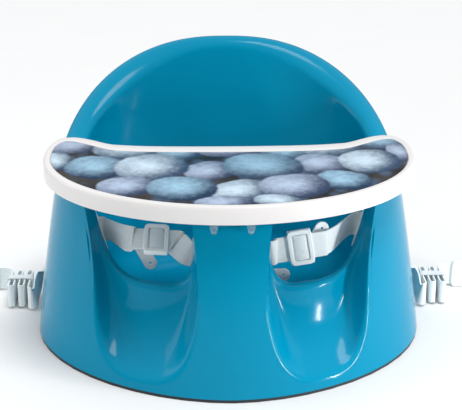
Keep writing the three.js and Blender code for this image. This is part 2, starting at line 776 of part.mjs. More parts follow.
function lapStrap(name, side) {
  const { start, end, y, outer, inner, lean, sag } = strapRuns[name];
  const frame = anchorFrames[name];
  const fromWall = (distance) => new THREE.Vector3(0, 0, distance).applyMatrix4(frame);
  const wallUp = new THREE.Vector3().setFromMatrixColumn(frame, 1);
  const [leant, upright] = [leaning(lean), leaning(0)];
  const runStart = new THREE.Vector3(side * start, y, outer);
  const runEnd = new THREE.Vector3(side * end, y, inner);
  const bend = new THREE.CubicBezierCurve3(
    fromWall(strapStub),
    fromWall(strapStub + 9).add(new THREE.Vector3(0, 0, -sag / 2)),
    runStart.clone().add(new THREE.Vector3(side * 14, 0, -sag * 0.7)),
    runStart,
  );
  const path = [[fromWall(-6), wallUp], [fromWall(0), wallUp]];
  for (let i = 0; i <= bendSteps; i++) {
    const t = i / bendSteps;
    path.push([bend.getPoint(t), wallUp.clone().lerp(leant, t ** 2)]);
  }
  const loop = tongueLoop.map(([reach, back]) => new THREE.Vector3(
    side * (buckleWidth / 2 + reach), buckleMiddle.y + back, buckleMiddle.z,
  ));
  for (let i = 0; i < twistSteps; i++) {
    const t = i / twistSteps;
    const place = runEnd.clone().lerp(loop[0], t);
    const early = 1 - (1 - t) ** 3;
    place.y = lerp(y, buckleMiddle.y + tongueLoop[0][1] - 0.4, early);
    place.z = lerp(inner, buckleMiddle.z, t * t * (3 - 2 * t));
    path.push([place, leant.clone().lerp(upright, early)]);
  }
  for (const place of loop) path.push([place, upright]);
  return webbing(path.map(([point]) => point), path.map(([, axis]) => axis));
}

for (const [name, side] of sides) {
  addMesh(seat, `lap_strap_${name}`, closedMesh(lapStrap(name, side)), whiteWebbing);
}

// Sliders on the lap straps: bars across the front at both ends, one bar across the back

function sliderGeometry() {
  const half = sliderDepth / 2;
  const outline = roundedOutline(sliderLength, sliderHeight, 4, 3);
  const passageHeight = webbingWidth + 1.2;
  const windowWidth = sliderLength - 2 * sliderBar - 1;
  const backMiddle = sliderLength / 4 + sliderBar / 2;
  let slider = toSolid(stack(outline, [[0.3, -half], [0, 0.4 - half], [0, half - 0.4], [0.3, half]]));
  const tools = [
    boxAt(sliderLength + 2, passageHeight, webbingThickness + 0.8, 0, 0, 0),
    boxAt(windowWidth, passageHeight, 4, 0, 0, 2.4),
    boxAt(sliderLength / 2, passageHeight, 4, backMiddle, 0, -2.4),
    boxAt(sliderLength / 2, passageHeight, 4, -backMiddle, 0, -2.4),
  ];
  for (const tool of tools) slider = slider.subtract(toSolid(tool));
  return toGeometry(slider);
}

for (const [name, side] of sides) {
  const { start, end, y, outer, inner, lean, slider } = strapRuns[name];
  const along = new THREE.Vector3(start - end, 0, side * (outer - inner)).normalize();
  const up = leaning(lean);
  up.addScaledVector(along, -up.dot(along)).normalize();
  const front = along.clone().cross(up).normalize();
  const spot = new THREE.Vector3(side * slider, y, lerp(inner, outer, (slider - end) / (start - end)));
  const pose = new THREE.Matrix4().makeBasis(along, up, front).setPosition(spot);
  addMesh(seat, `slider_${name}`, sliderGeometry().applyMatrix4(pose), paleFitting);
}

// Oblong plates behind the straps

function oblongPlate() {
  const shape = roundedRectangle(strapTabLength, strapTabWidth, strapTabWidth / 2 - 0.01);
  for (const end of [-1, 1]) {
    const eye = new THREE.Path();
    eye.absarc(end * (strapTabLength - strapTabWidth) / 2, 0, strapTabEye, 0, Math.PI * 2, false);
    shape.holes.push(eye);
  }
  return plate(shape, strapTabThickness, 3).translate(0, 0, -strapTabThickness / 2).rotateX(Math.PI / 2);
}

const platePlaces = {
  left: { turn: degToRad(62.8), spot: [-85.4, -67.4, 111.1] },
  right: { turn: degToRad(-63), spot: [80, -74.5, 118] },
  crotch: { turn: degToRad(-3), spot: [34, -79.8, 86.5] },
};
for (const [name, { turn, spot }] of Object.entries(platePlaces)) {
  addMesh(seat, `strap_plate_${name}`, closedMesh(oblongPlate().rotateY(turn).translate(...spot)), paleFitting);
}

// Anchors of the lap straps

for (const [name] of sides) {
  const frame = anchorFrames[name];
  const lift = 2;
  const thickness = 2.6;
  const outline = roundedOutline(18, 45, 4);
  let anchor = toSolid(stack(outline, [[0, lift], [0, lift + thickness - 0.6], [0.6, lift + thickness]]));
  anchor = anchor.subtract(toSolid(boxAt(slotHeight + 1.4, webbingWidth + 2, 20, 0, 0, 0)));
  const headTop = lift + thickness + 0.6;
  for (const [place, side] of [['lower', -1], ['upper', 1]]) {
    for (const tool of screwHole(20, 3)) {
      anchor = anchor.subtract(toSolid(tool.translate(0, side * anchorScrewSpan, headTop)));
    }
    addMesh(seat, `lap_screw_${name}_${place}`, closedMesh(screwGeometry(6)
      .translate(0, side * anchorScrewSpan, headTop).applyMatrix4(frame)), steel);
  }
  addMesh(seat, `lap_anchor_${name}`, toGeometry(anchor).applyMatrix4(frame), paleFitting);
}

// Crotch strap, its anchor on the seat's floor, and the buckle

const crotchPath = vectors([
  [8, -58, 43], [8, -58, 48], [8, -58.2, 53], [8, -60, 56.5], [8, -63.5, 58.6], [8, -68, 60.2], [8, -73, 63],
  [8, -77.6, 68], [8, -80.6, 74], [8, -82.2, 80], [8, -82.8, 86], [8, -82.8, 102.5],
]);
addMesh(seat, 'crotch_strap', closedMesh(webbing(crotchPath, crotchPath.map(() => new THREE.Vector3(1, 0, 0)))), whiteWebbing);
let crotchPlate = toSolid(stack(roundedOutline(54, anchorPlateWidth, 4, 3), [[0, 0], [0, 2.4], [0.6, anchorPlateThickness]]));
crotchPlate = crotchPlate.subtract(toSolid(boxAt(slotWidth, slotHeight + 1.4, 20, 0, 0, 0)));
for (const [name, side] of sides) {
  for (const tool of screwHole(20, 3)) {
    crotchPlate = crotchPlate.subtract(toSolid(tool.translate(side * crotchScrewSpan, 0, anchorPlateThickness + 0.4)));
  }
  addMesh(seat, `crotch_screw_${name}`, closedMesh(screwGeometry(6).translate(side * crotchScrewSpan, 0, anchorPlateThickness + 0.4)
    .translate(...crotchAnchor)), steel);
}
addMesh(seat, 'crotch_anchor', toGeometry(crotchPlate).translate(...crotchAnchor), paleFitting);

// Drawn facing up, then stood up with its face to the front
const standUp = (geometry) => geometry.rotateX(Math.PI / 2).translate(...buckleMiddle);
let buckle = toSolid(stack(roundedOutline(buckleWidth, buckleHeight, 6), [
  [1.2, -buckleDepth / 2],
  [0, -buckleDepth / 2 + 1.2],
  [0, buckleDepth / 2 - 1.2],
  [1.2, buckleDepth / 2],
]));
const noseHeight = 12;
for (const [, side] of sides) {
  buckle = buckle.subtract(toSolid(boxAt(tongueInside + 2, noseHeight + 0.8, tongueThickness + 0.8,
    side * (buckleWidth / 2 - tongueInside / 2), 0, 0)));
}
const buttonSeat = tongueThickness / 2 + 1;
buckle = buckle.subtract(toSolid(boxAt(buttonWidth + 0.3, buttonHeight + 0.3, 10, 0, 0, buttonSeat + 5)));
buckle = buckle.subtract(toSolid(boxAt(slotWidth, 9.5, webbingThickness + 0.8, 8, -buckleHeight / 2 + 3.4, 0.8)));
addMesh(seat, 'buckle_body', standUp(toGeometry(buckle)), paleFitting);
const buttonFoot = buttonSeat + 2.6;
const buttonTop = buckleDepth / 2 + buttonProud;
addMesh(seat, 'buckle_button', standUp(closedMesh(stack(roundedOutline(buttonWidth - 0.1, buttonHeight - 0.1, 2), [
  [0, buttonFoot],
  [0, buttonTop - 0.6],
  [0.6, buttonTop],
]))), greyButton);

for (const [name, side] of sides) {
  const shape = roundedRectangle(tongueHeadWidth, webbingWidth + 7, 2);
  const slot = new THREE.Path();
  const [near, far, top] = [-1, 2.8, webbingWidth / 2 + 0.6];
  slot.moveTo(near, -top);
  slot.lineTo(near, top);
  slot.lineTo(far, top);
  slot.lineTo(far, -top);
  slot.closePath();
  shape.holes.push(slot);
  const head = plate(shape, tongueThickness, 3).translate(0, 0, -tongueThickness / 2);
  const noseMiddle = -(tongueHeadWidth + tongueInside) / 2;
  const nose = boxAt(tongueInside + 2, noseHeight, tongueThickness, noseMiddle, 0, 0);
  const tongue = toSolid(head).add(toSolid(nose));
  const geometry = toGeometry(tongue).translate((buckleWidth + tongueHeadWidth) / 2 + 0.5, 0, 0);
  if (side < 0) geometry.rotateY(Math.PI);
  addMesh(seat, `tongue_${name}`, standUp(geometry), paleFitting);
}

// Chair straps: out of the shell's side, down to the floor and folded up beside it, ending in a buckle half

const hankPitch = 5.4;
const hankLayers = 5;
const hankStart = 214.5;
const hankFront = 47;
const hankBack = 86;
const hankMiddle = 14.6;

function chairStrapPath(side) {
  const frame = chairFrames[side < 0 ? 'left' : 'right'];
  const slotAlong = new THREE.Vector3().setFromMatrixColumn(frame, 0).multiplyScalar(-side);
  const flat = slotAlong.y > 0 ? slotAlong.negate() : slotAlong;
  const upright = new THREE.Vector3(0, 0, 1);
  const tilted = (share) => flat.clone().lerp(upright, share).normalize();
  const inFrame = (x, y, z) => new THREE.Vector3(x, y, z).applyMatrix4(frame);
  const path = [
    [inFrame(0, 0, -9), flat],
    [inFrame(0, 0, 0), flat],
    [inFrame(0, 0, 4), flat],
    [new THREE.Vector3(side * 198.6, 62.6, 38.4), flat],
    [new THREE.Vector3(side * 202, 61, 34.4), tilted(0.1)],
    [new THREE.Vector3(side * 204, 56.5, 28.6), tilted(0.3)],
    [new THREE.Vector3(side * 205.4, 50, 22.6), tilted(0.6)],
    [new THREE.Vector3(side * 206.2, 44, 17.6), tilted(0.85)],
    [new THREE.Vector3(side * 207.4, 40, 15.2), upright],
    [new THREE.Vector3(side * 210, 38, hankMiddle), upright],
    [new THREE.Vector3(side * 212.8, 39.4, hankMiddle), upright],
    [new THREE.Vector3(side * hankStart, 43.5, hankMiddle), upright],
  ];
  for (let layer = 0; layer < hankLayers; layer++) {
    const x = hankStart + layer * hankPitch;
    const forward = layer % 2 === 0;
    const [from, to] = forward ? [hankFront, hankBack] : [hankBack, hankFront];
    path.push([new THREE.Vector3(side * x, from, hankMiddle), upright]);
    path.push([new THREE.Vector3(side * x, to, hankMiddle), upright]);
    if (layer === hankLayers - 1) break;
    for (const turn of [0.25, 0.5, 0.75]) {
      const around = turn * Math.PI;
      const bulge = (hankPitch / 2) * Math.sin(around) * (forward ? 1 : -1);
      path.push([
        new THREE.Vector3(side * (x + hankPitch / 2 - (hankPitch / 2) * Math.cos(around)), to + bulge, hankMiddle),
        upright,
      ]);
    }
  }
  for (const [x, y] of [[237, 91.5], [240.2, 95], [245, 96.6], [251, 97], [258, 97]]) {
    path.push([new THREE.Vector3(side * x, y, hankMiddle), upright]);
  }
  return webbing(path.map(([point]) => point), path.map(([, axis]) => axis));
}

for (const [name, side] of sides) {
  addMesh(seat, `chair_strap_${name}`, closedMesh(chairStrapPath(side)), whiteWebbing);
  const middle = hankStart + (hankLayers - 1) * hankPitch / 2;
  const around = (hankLayers - 1) * hankPitch + webbingThickness + 1;
  const inner = stack(roundedOutline(around, webbingWidth + 1, 0.4, 1), [[0, -9], [0, 9]]);
  const outer = stack(roundedOutline(around + 2.4, webbingWidth + 3.4, 3), [[0, -5], [0, 5]]);
  addMesh(seat, `keeper_${name}`, carved(outer, inner).rotateX(Math.PI / 2).translate(side * middle, 66, hankMiddle), darkGrip);
}

// Buckle halves of the chair straps: a side-release pair

function chairBuckle(socket) {
  const height = webbingWidth + 3.4;
  let body = toSolid(stack(roundedOutline(adjusterLength, height, 4), [[0.8, -5], [0, -4.2], [0, 4.2], [0.8, 5]]));
  body = body.subtract(toSolid(boxAt(10, webbingWidth + 0.8, webbingThickness + 0.8, -adjusterLength / 2 + 3, 0, 0)));
  if (socket) {
    body = body.subtract(toSolid(boxAt(20, height - 6, 5.4, adjusterLength / 2 - 6, 0, 0)));
    return body;
  }
  const trim = toSolid(boxAt(20, height + 2, 12, adjusterLength / 2 - 2, 0, 0));
  body = body.subtract(trim);
  const root = adjusterLength / 2 - 12;
  for (const [y, width, length] of [[-8, 3.4, 18], [0, 5, 14], [8, 3.4, 18]]) {
    body = body.add(toSolid(boxAt(length, width, 4, root + length / 2 - 2, y, 0)));
  }
  for (const side of [-1, 1]) body = body.add(toSolid(boxAt(5, 5, 4, root + 13.5, side * 9, 0)));
  return body;
}

for (const [name, side] of sides) {
  const geometry = toGeometry(chairBuckle(side > 0)).rotateX(Math.PI / 2);
  if (side < 0) geometry.rotateZ(Math.PI);
  addMesh(seat, `chair_buckle_${side > 0 ? 'socket' : 'prong'}`, geometry
    .translate(side * (253 + adjusterLength / 2), 97, hankMiddle), paleFitting);
}

export default seat;
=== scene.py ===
import json
import math

import bmesh
import bpy
from mathutils import Matrix, Vector


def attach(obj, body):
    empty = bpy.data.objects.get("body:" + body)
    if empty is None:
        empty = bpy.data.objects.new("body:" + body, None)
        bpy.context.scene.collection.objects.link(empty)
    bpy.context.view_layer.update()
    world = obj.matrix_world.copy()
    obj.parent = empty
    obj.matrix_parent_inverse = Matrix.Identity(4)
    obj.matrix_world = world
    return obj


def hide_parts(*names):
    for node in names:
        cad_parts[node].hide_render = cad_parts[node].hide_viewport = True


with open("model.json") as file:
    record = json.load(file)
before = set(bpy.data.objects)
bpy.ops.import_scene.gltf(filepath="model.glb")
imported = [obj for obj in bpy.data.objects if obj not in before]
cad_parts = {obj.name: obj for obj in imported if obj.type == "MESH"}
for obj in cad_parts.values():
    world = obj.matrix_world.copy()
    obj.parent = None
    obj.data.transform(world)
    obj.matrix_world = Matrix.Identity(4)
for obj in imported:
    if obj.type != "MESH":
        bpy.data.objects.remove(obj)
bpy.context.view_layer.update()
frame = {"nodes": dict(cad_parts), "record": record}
MM = 0.001


# Camera, as in the photograph: the seat is seen turned a little

camera_turn = math.radians(1.5)
camera_tilt = math.radians(18.95)
camera_data = bpy.data.cameras.new("camera")
camera_data.sensor_width = 36
camera_data.lens = 95.3
camera = bpy.data.objects.new("camera", camera_data)
camera.location = (-0.02836, -1.17466, 0.535)
camera.rotation_euler = (math.pi / 2 - camera_tilt, 0, -camera_turn)
scene = bpy.context.scene
scene.collection.objects.link(camera)
scene.camera = camera
scene.view_settings.view_transform = "Standard"
scene.view_settings.look = "None"

# Finishes


class Value:
    """A socket of a node tree; Python arithmetic on it adds Math nodes."""

    def __init__(self, wiring, socket):
        self.wiring = wiring
        self.socket = socket

    def maths(self, operation, *terms):
        return self.wiring.node("ShaderNodeMath", {"operation": operation}, *terms)

    def __add__(self, other):
        return self.maths("ADD", self, other)

    def __sub__(self, other):
        return self.maths("SUBTRACT", self, other)

    def __rsub__(self, other):
        return self.maths("SUBTRACT", other, self)

    def __mul__(self, other):
        return self.maths("MULTIPLY", self, other)

    def __truediv__(self, other):
        return self.maths("DIVIDE", self, other)

    def __rtruediv__(self, other):
        return self.maths("DIVIDE", other, self)

    def __pow__(self, other):
        return self.maths("POWER", self, other)

    def __rpow__(self, other):
        return self.maths("POWER", other, self)

    def __abs__(self):
        return self.maths("ABSOLUTE", self)

    def sine(self):
        return self.maths("SINE", self)

    def step(self, low, high):
        """0 below low, 1 above high and smooth between."""
        settings = {"interpolation_type": "SMOOTHSTEP"}
        return self.wiring.node("ShaderNodeMapRange", settings, self, low, high)

    __radd__ = __add__
    __rmul__ = __mul__


class Wiring:
    """Fills self.tree: each call of node() adds one node, feeds its sockets and gives an output."""

    def feed(self, socket, value):
        if isinstance(value, list):
            for part in value:
                self.feed(socket, part)
        elif isinstance(value, Value):
            self.tree.links.new(value.socket, socket)
        else:
            socket.default_value = value

    def node(self, kind, settings, *values, output=0, **named):
        node = self.tree.nodes.new(kind)
        for key, value in settings.items():
            setattr(node, key, value)
        for socket, value in zip(node.inputs, values):
            self.feed(socket, value)
        for key, value in named.items():
            self.feed(node.inputs[key.replace("_", " ")], value)
        return Value(self, node.outputs[output])


class Finish(Wiring):
    """A material made of nodes round one Principled BSDF."""

    def __init__(self, name):
        self.material = bpy.data.materials.new(name)
        self.material.use_nodes = True
        self.tree = self.material.node_tree
        self.surface = self.tree.nodes["Principled BSDF"]

    def mix(self, factor, a, b):
        node = self.tree.nodes.new("ShaderNodeMix")
        node.data_type = "RGBA"
        sockets = {socket.identifier: socket for socket in node.inputs}
        for key, value in (("Factor_Float", factor), ("A_Color", a), ("B_Color", b)):
            self.feed(sockets[key], value)
        return Value(self, next(out for out in node.outputs if out.identifier == "Result_Color"))

    def place(self, kind="Object"):
        return self.node("ShaderNodeTexCoord", {}, output=kind)

    def axes(self, vector):
        return [self.node("ShaderNodeSeparateXYZ", {}, vector, output=i) for i in range(3)]

    def noise(self, scale, detail=2.0, rough=0.5):
        return self.node(
            "ShaderNodeTexNoise", {}, Vector=self.place(), Scale=scale, Detail=detail, Roughness=rough
        )

    def bump(self, height, strength, distance):
        return self.node("ShaderNodeBump", {}, Height=height, Strength=strength, Distance=distance)

    def done(self, **values):
        for key, value in values.items():
            self.feed(self.surface.inputs[key.replace("_", " ")], value)
        return self.material


def rgb(red, green, blue):
    """An sRGB colour, 0 to 255, as the linear colour that a node takes."""

    def linear(level):
        share = level / 255
        return share / 12.92 if share <= 0.04045 else ((share + 0.055) / 1.055) ** 2.4

    return (linear(red), linear(green), linear(blue), 1.0)


def moulded(name, light, dark, roughness, coat=0.0, specular=0.4):
    """Moulded plastic: a slow change of tone, fine grain and a little wear in the gloss."""
    f = Finish(name)
    patch = f.noise(14.0)
    grain = f.noise(900.0)
    wear = f.noise(45.0, 4.0, 0.7).step(0.55, 0.75)
    return f.done(
        Base_Color=f.mix(patch * 0.4 + wear * 0.2, light, dark),
        Roughness=patch * 0.06 + wear * 0.05 + roughness,
        Coat_Weight=coat,
        Coat_Roughness=0.1,
        Specular_IOR_Level=specular,
        Normal=f.bump(grain, 0.25, 0.00002),
    )


def tub_finish():
    """Glossy blue plastic, a little uneven, with faint scuffs in its gloss."""
    f = Finish("blue_gloss")
    patch = f.noise(7.0)
    swirl = f.noise(38.0, 3.0)
    peel = f.noise(240.0, 1.0)
    scuff = f.noise(60.0, 5.0, 0.7).step(0.62, 0.8)
    tone = patch * 0.7 + swirl * 0.3
    return f.done(
        Base_Color=f.mix(tone, rgb(0, 138, 174), rgb(0, 129, 164)),
        Roughness=patch * 0.04 + scuff * 0.05 + 0.12,
        Coat_Weight=0.05,
        Coat_Roughness=0.04,
        Specular_IOR_Level=0.1,
        Normal=f.bump(peel, 0.1, 0.00004),
    )


def grip_finish():
    f = Finish("dark_grip")
    grain = f.noise(2200.0)
    return f.done(
        Base_Color=f.mix(grain, rgb(38, 44, 48), rgb(54, 60, 64)),
        Roughness=0.75,
        Normal=f.bump(grain, 0.5, 0.0002),
    )


def webbing_finish():
    """Ribbed webbing; the UV map holds metres across and along the strap."""
    rib_pitch = 1.7 * MM
    pick_pitch = 0.9 * MM
    f = Finish("white_webbing")
    across, along, _ = f.axes(f.place("UV"))
    rib = (across * (2 * math.pi / rib_pitch)).sine()
    pick = (along * (2 * math.pi / pick_pitch)).sine()
    weave = rib * 0.35 + pick * 0.12 + 0.5
    fuzz = f.noise(1700.0, 3.0, 0.7)
    soil = f.noise(60.0, 3.0)
    tone = weave * 0.6 + fuzz * 0.25 + soil * 0.2
    return f.done(
        Base_Color=f.mix(tone, rgb(212, 226, 229), rgb(246, 251, 252)),
        Roughness=0.85,
        Sheen_Weight=0.2,
        Normal=f.bump(weave, 0.55, 0.0003),
    )


def clear_finish():
    f = Finish("clear_plastic")
    patch = f.noise(120.0)
    return f.done(
        Base_Color=f.mix(patch, rgb(240, 246, 248), rgb(226, 236, 240)),
        Roughness=patch * 0.05 + 0.02,
        Transmission_Weight=0.94,
        IOR=1.49,
    )


def steel_finish():
    f = Finish("plated_steel")
    patch = f.noise(400.0)
    return f.done(
        Base_Color=f.mix(patch, rgb(188, 190, 192), rgb(160, 163, 167)),
        Metallic=1.0,
        Roughness=patch * 0.15 + 0.22,
    )


# The tray's print: rounded river stones that overlap, on a dark ground. Each stone is an x, a y, its
# half sizes, its turn and which of the tones it has, all in the tray's own millimetres.

stones = [
    (-150, 108, 27, 22, 0.4, 1),
    (-100, 94, 33, 24, -0.2, 0),
    (-47, 88, 24, 21, 0.3, 2),
    (4, 95, 37, 22, 0.1, 1),
    (54, 86, 25, 21, -0.4, 2),
    (100, 99, 34, 24, 0.2, 0),
    (150, 112, 27, 24, -0.3, 2),
    (-165, 66, 15, 22, 0.2, 0),
    (-127, 50, 29, 27, -0.3, 2),
    (-20, 40, 25, 22, 0.5, 1),
    (85, 55, 27, 25, -0.2, 1),
    (166, 82, 13, 22, 0.2, 1),
    (-74, 50, 35, 31, 0.2, 0),
    (31, 50, 38, 31, -0.2, 2),
    (133, 61, 30, 28, 0.4, 0),
    (-95, 6, 28, 22, 0.2, 1),
    (103, 16, 26, 22, -0.3, 2),
    (8, -6, 29, 23, 0.4, 0),
    (-45, 0, 32, 27, -0.1, 2),
    (57, 4, 33, 27, 0.2, 1),
    (-8, -31, 27, 14, 0.1, 1),
    (40, -28, 22, 13, -0.2, 0),
]
stone_squareness = 2.3
tray_middle = -124
stone_tones = [
    (rgb(208, 230, 244), rgb(36, 64, 94)),
    (rgb(182, 200, 224), rgb(40, 56, 86)),
    (rgb(160, 200, 224), rgb(20, 48, 78)),
]


def print_finish():
    """Small pebbles on the ground, and each stone painted over those before it, lit from its upper left."""
    f = Finish("print_stones")
    x, y, _ = f.axes(f.place())
    smear = f.noise(26.0, 3.0)
    ripple = f.noise(55.0, 3.0) - 0.5
    bloom = f.noise(150.0, 5.0, 0.7) - 0.5
    color = f.mix(smear.step(0.35, 0.65), rgb(16, 22, 30), rgb(60, 58, 56))
    pebbles = f.node("ShaderNodeTexVoronoi", {"feature": "F1"}, Vector=f.place(), Scale=62.0)
    color = f.mix((1 - pebbles.step(0.15, 0.55)) * 0.75, color, rgb(70, 92, 116))
    for stone_x, stone_y, half_width, half_depth, turn, tone in stones:
        east = x - stone_x * MM
        north = y - (tray_middle + stone_y) * MM
        across = (east * math.cos(turn) + north * math.sin(turn)) / (half_width * MM)
        upward = (north * math.cos(turn) - east * math.sin(turn)) / (half_depth * MM)
        square = abs(across) ** stone_squareness + abs(upward) ** stone_squareness
        far = square ** (1 / stone_squareness) + ripple * 0.16
        light, dark = stone_tones[tone]
        shade = (far * 0.75 + across * 0.25 - upward * 0.3 + bloom * 0.8).step(-0.25, 1.05)
        color = f.mix(1 - far.step(0.93, 1.05), color, f.mix(shade, light, dark))
    return f.done(Base_Color=color, Roughness=smear * 0.06 + 0.3, Specular_IOR_Level=0.15)


blue = tub_finish()
grip = grip_finish()
white = moulded(
    "white_gloss", rgb(224, 222, 221), rgb(217, 215, 214), 0.26, coat=0.1, specular=0.25
)
fitting = moulded("pale_fitting", rgb(246, 252, 252), rgb(236, 245, 247), 0.34)
keeper = moulded("pale_keeper", rgb(226, 233, 235), rgb(204, 214, 218), 0.7)
button_grey = moulded("grey_button", rgb(152, 163, 166), rgb(136, 148, 152), 0.4)
webbing = webbing_finish()
clear = clear_finish()
steel = steel_finish()
print_sheet = print_finish()

# Placing and joining meshes

sides = (("left", -1), ("right", 1))


def mix(a, b, t):
    return a + (b - a) * t


def at(x, y, z):
    return Matrix.Translation(Vector((x, y, z)) * MM)


def basis(x, y, z, spot):
    rows = [[x[i], y[i], z[i], spot[i] * MM] for i in range(3)]
    return Matrix(rows + [[0, 0, 0, 1]])


def column(matrix, index):
    return Vector(matrix.col[index][:3])


def in_frame(matrix, x, y, z):
    return (matrix @ Vector((x * MM, y * MM, z * MM))) / MM


def smooth(mesh, degrees=38):
    mesh.polygons.foreach_set("use_smooth", [True] * len(mesh.polygons))
    mesh.set_sharp_from_angle(angle=math.radians(degrees))


def add_object(name, mesh, material, body, replaced=()):
    obj = bpy.data.objects.new(name, mesh)
    scene.collection.objects.link(obj)
    mesh.materials.clear()
    mesh.materials.append(material)
    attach(obj, body)
    if replaced:
        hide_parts(*replaced)


def evaluated(obj):
    """The object's mesh with its modifiers put in; the object itself is removed."""
    graph = bpy.context.evaluated_depsgraph_get()
    mesh = bpy.data.meshes.new_from_object(obj.evaluated_get(graph))
    bpy.data.objects.remove(obj)
    return mesh


def joined(name, *meshes):
    """One mesh, shaded smooth, that holds all the given ones."""
    maker = bmesh.new()
    for mesh in meshes:
        maker.from_mesh(mesh)
    result = bpy.data.meshes.new(name)
    maker.to_mesh(result)
    maker.free()
    smooth(result)
    return result


def add_box(maker, size, matrix):
    """Adds a box of that size in millimetres, its middle at the matrix's origin."""
    scale = Matrix.Diagonal((*[side * MM for side in size], 1))
    bmesh.ops.create_cube(maker, size=1, matrix=matrix @ scale)


def soft_box(size, matrix, edge=0.5):
    """A box with rounded edges."""
    maker = bmesh.new()
    add_box(maker, size, Matrix())
    edges = maker.edges[:]
    bmesh.ops.bevel(maker, geom=edges, offset=edge * MM, segments=3, profile=0.5, affect="EDGES")
    bmesh.ops.transform(maker, matrix=matrix, verts=maker.verts)
    mesh = bpy.data.meshes.new("box")
    maker.to_mesh(mesh)
    maker.free()
    return mesh


def rounded(width, height, radius, steps=8):
    """A rounded rectangle's outline, its middle at (0, 0)."""
    corners = ((1, -1, -0.5), (1, 1, 0), (-1, 1, 0.5), (-1, -1, 1))
    points = []
    for right, top, start in corners:
        x = right * (width / 2 - radius)
        y = top * (height / 2 - radius)
        for i in range(steps + 1):
            turn = (start + 0.5 * i / steps) * math.pi
            points.append((x + radius * math.cos(turn), y + radius * math.sin(turn)))
    return points


def circle(x, y, radius, steps):
    turns = [2 * math.pi * i / steps for i in range(steps)]
    return [(x + radius * math.cos(turn), y + radius * math.sin(turn)) for turn in turns]


def cut_plate(outlines, thickness, edge, matrix):
    """A plate with rounded edges: its outline, then its holes; its middle plane at z = 0."""
    curve = bpy.data.curves.new("plate", "CURVE")
    curve.dimensions = "2D"
    curve.fill_mode = "BOTH"
    curve.extrude = (thickness / 2 - edge) * MM
    curve.bevel_depth = edge * MM
    curve.bevel_resolution = 3
    curve.offset = -edge * MM
    for outline in outlines:
        line = curve.splines.new("POLY")
        line.points.add(len(outline) - 1)
        for point, (x, y) in zip(line.points, outline):
            point.co = (x * MM, y * MM, 0, 1)
        line.use_cyclic_u = True
    obj = bpy.data.objects.new("plate", curve)
    scene.collection.objects.link(obj)
    mesh = evaluated(obj)
    mesh.transform(matrix)
    return mesh


class Growth(Wiring):
    """A geometry node tree with named sizes, which ends in Realize Instances and Set Material."""

    def __init__(self, name, **sizes):
        self.tree = bpy.data.node_groups.new(name, "GeometryNodeTree")
        face = self.tree.interface
        face.new_socket("Points", in_out="INPUT", socket_type="NodeSocketGeometry")
        face.new_socket("Pieces", in_out="OUTPUT", socket_type="NodeSocketGeometry")
        self.sizes = {}
        for key, value in sizes.items():
            socket = face.new_socket(key, in_out="INPUT", socket_type="NodeSocketFloat")
            self.sizes[socket.identifier] = value
        self.entry = self.tree.nodes.new("NodeGroupInput")

    def given(self, name):
        return Value(self, self.entry.outputs[name])

    def vector(self, x=0.0, y=0.0, z=0.0):
        return self.node("ShaderNodeCombineXYZ", {}, x, y, z)

    def moved(self, part, **offset):
        return self.node("GeometryNodeTransform", {}, Geometry=part, Translation=self.vector(**offset))

    def attribute(self, name, kind):
        return self.node(
            "GeometryNodeInputNamedAttribute", {"data_type": kind}, Name=name, output="Attribute"
        )

    def grow(self, name, points, attributes, instance, material, **placing):
        """Puts the instance on each point and gives the plain mesh."""
        copies = self.node(
            "GeometryNodeInstanceOnPoints", {}, Points=self.given("Points"), Instance=instance, **placing
        )
        whole = self.node("GeometryNodeRealizeInstances", {}, Geometry=copies)
        whole = self.node("GeometryNodeSetMaterial", {}, Geometry=whole, Material=material)
        self.feed(self.tree.nodes.new("NodeGroupOutput").inputs[0], whole)
        mesh = bpy.data.meshes.new(name)
        mesh.from_pydata(points, [], [])
        for key, (kind, values) in attributes.items():
            layer = mesh.attributes.new(key, kind, "POINT")
            if kind == "FLOAT_VECTOR":
                layer.data.foreach_set("vector", [part for value in values for part in value])
            else:
                layer.data.foreach_set("value", values)
        obj = bpy.data.objects.new(name, mesh)
        scene.collection.objects.link(obj)
        grower = obj.modifiers.new("grow", "NODES")
        grower.node_group = self.tree
        for identifier, value in self.sizes.items():
            grower[identifier] = value
        return evaluated(obj)


# Seat shell: the same surface as the CAD's, drawn finely. Lengths are in millimetres, turns in radians.

shell_foot = 3.3
shell_wall = 3.6
lean = 0.143
base_half = 197.3
side_draft = 0.108
side_curve = 0.0002
front_depth = 177
front_draft = 0.205
back_depth = 174
back_draft = 0.032
front_squareness = 1.83
back_squareness = 2.5

leg_middle = math.radians(28.6)
leg_half = math.radians(17.4)
leg_roundness = 3
leg_shift = math.radians(12)
leg_flare = 0.2
flare_start = 75
flare_span = 80
flare_reach = math.radians(70)
lip_middle = math.radians(22)
lip_base = 84
lip_roll = 7
lip_roundness = 3.2
toe_height = 15
edge_radius = 5
edge_drop = 10
edge_turn = edge_radius / base_half
edge_end = 0.16
ramp_slope = 0.9
ramp_hold = 0.4

rim_front = 155.8
rim_back = 262.8
rim_width = 25
rim_roll = 12.5
arm_rise = 30.0
backrest_start = math.radians(84.7)
backrest_shoulder = 2.23
backrest_foot = 1.46

bowl_floor = 48.0
bowl_fillet = 28.0
bowl_front = 106.0
bowl_squareness = 3
bowl_side_draft = 0.455
bowl_side_top = 165
bowl_back_draft = 0.3
bowl_back_top = 265
draft_softness = 8


def signed_power(value, power):
    return math.copysign(abs(value) ** power, value)


def soft_step(value):
    return draft_softness * math.log1p(math.exp(value / draft_softness))


def side_half(z):
    return base_half - side_draft * z - side_curve * z * z


def back_reach(z):
    return back_depth - back_draft * z - lean * z


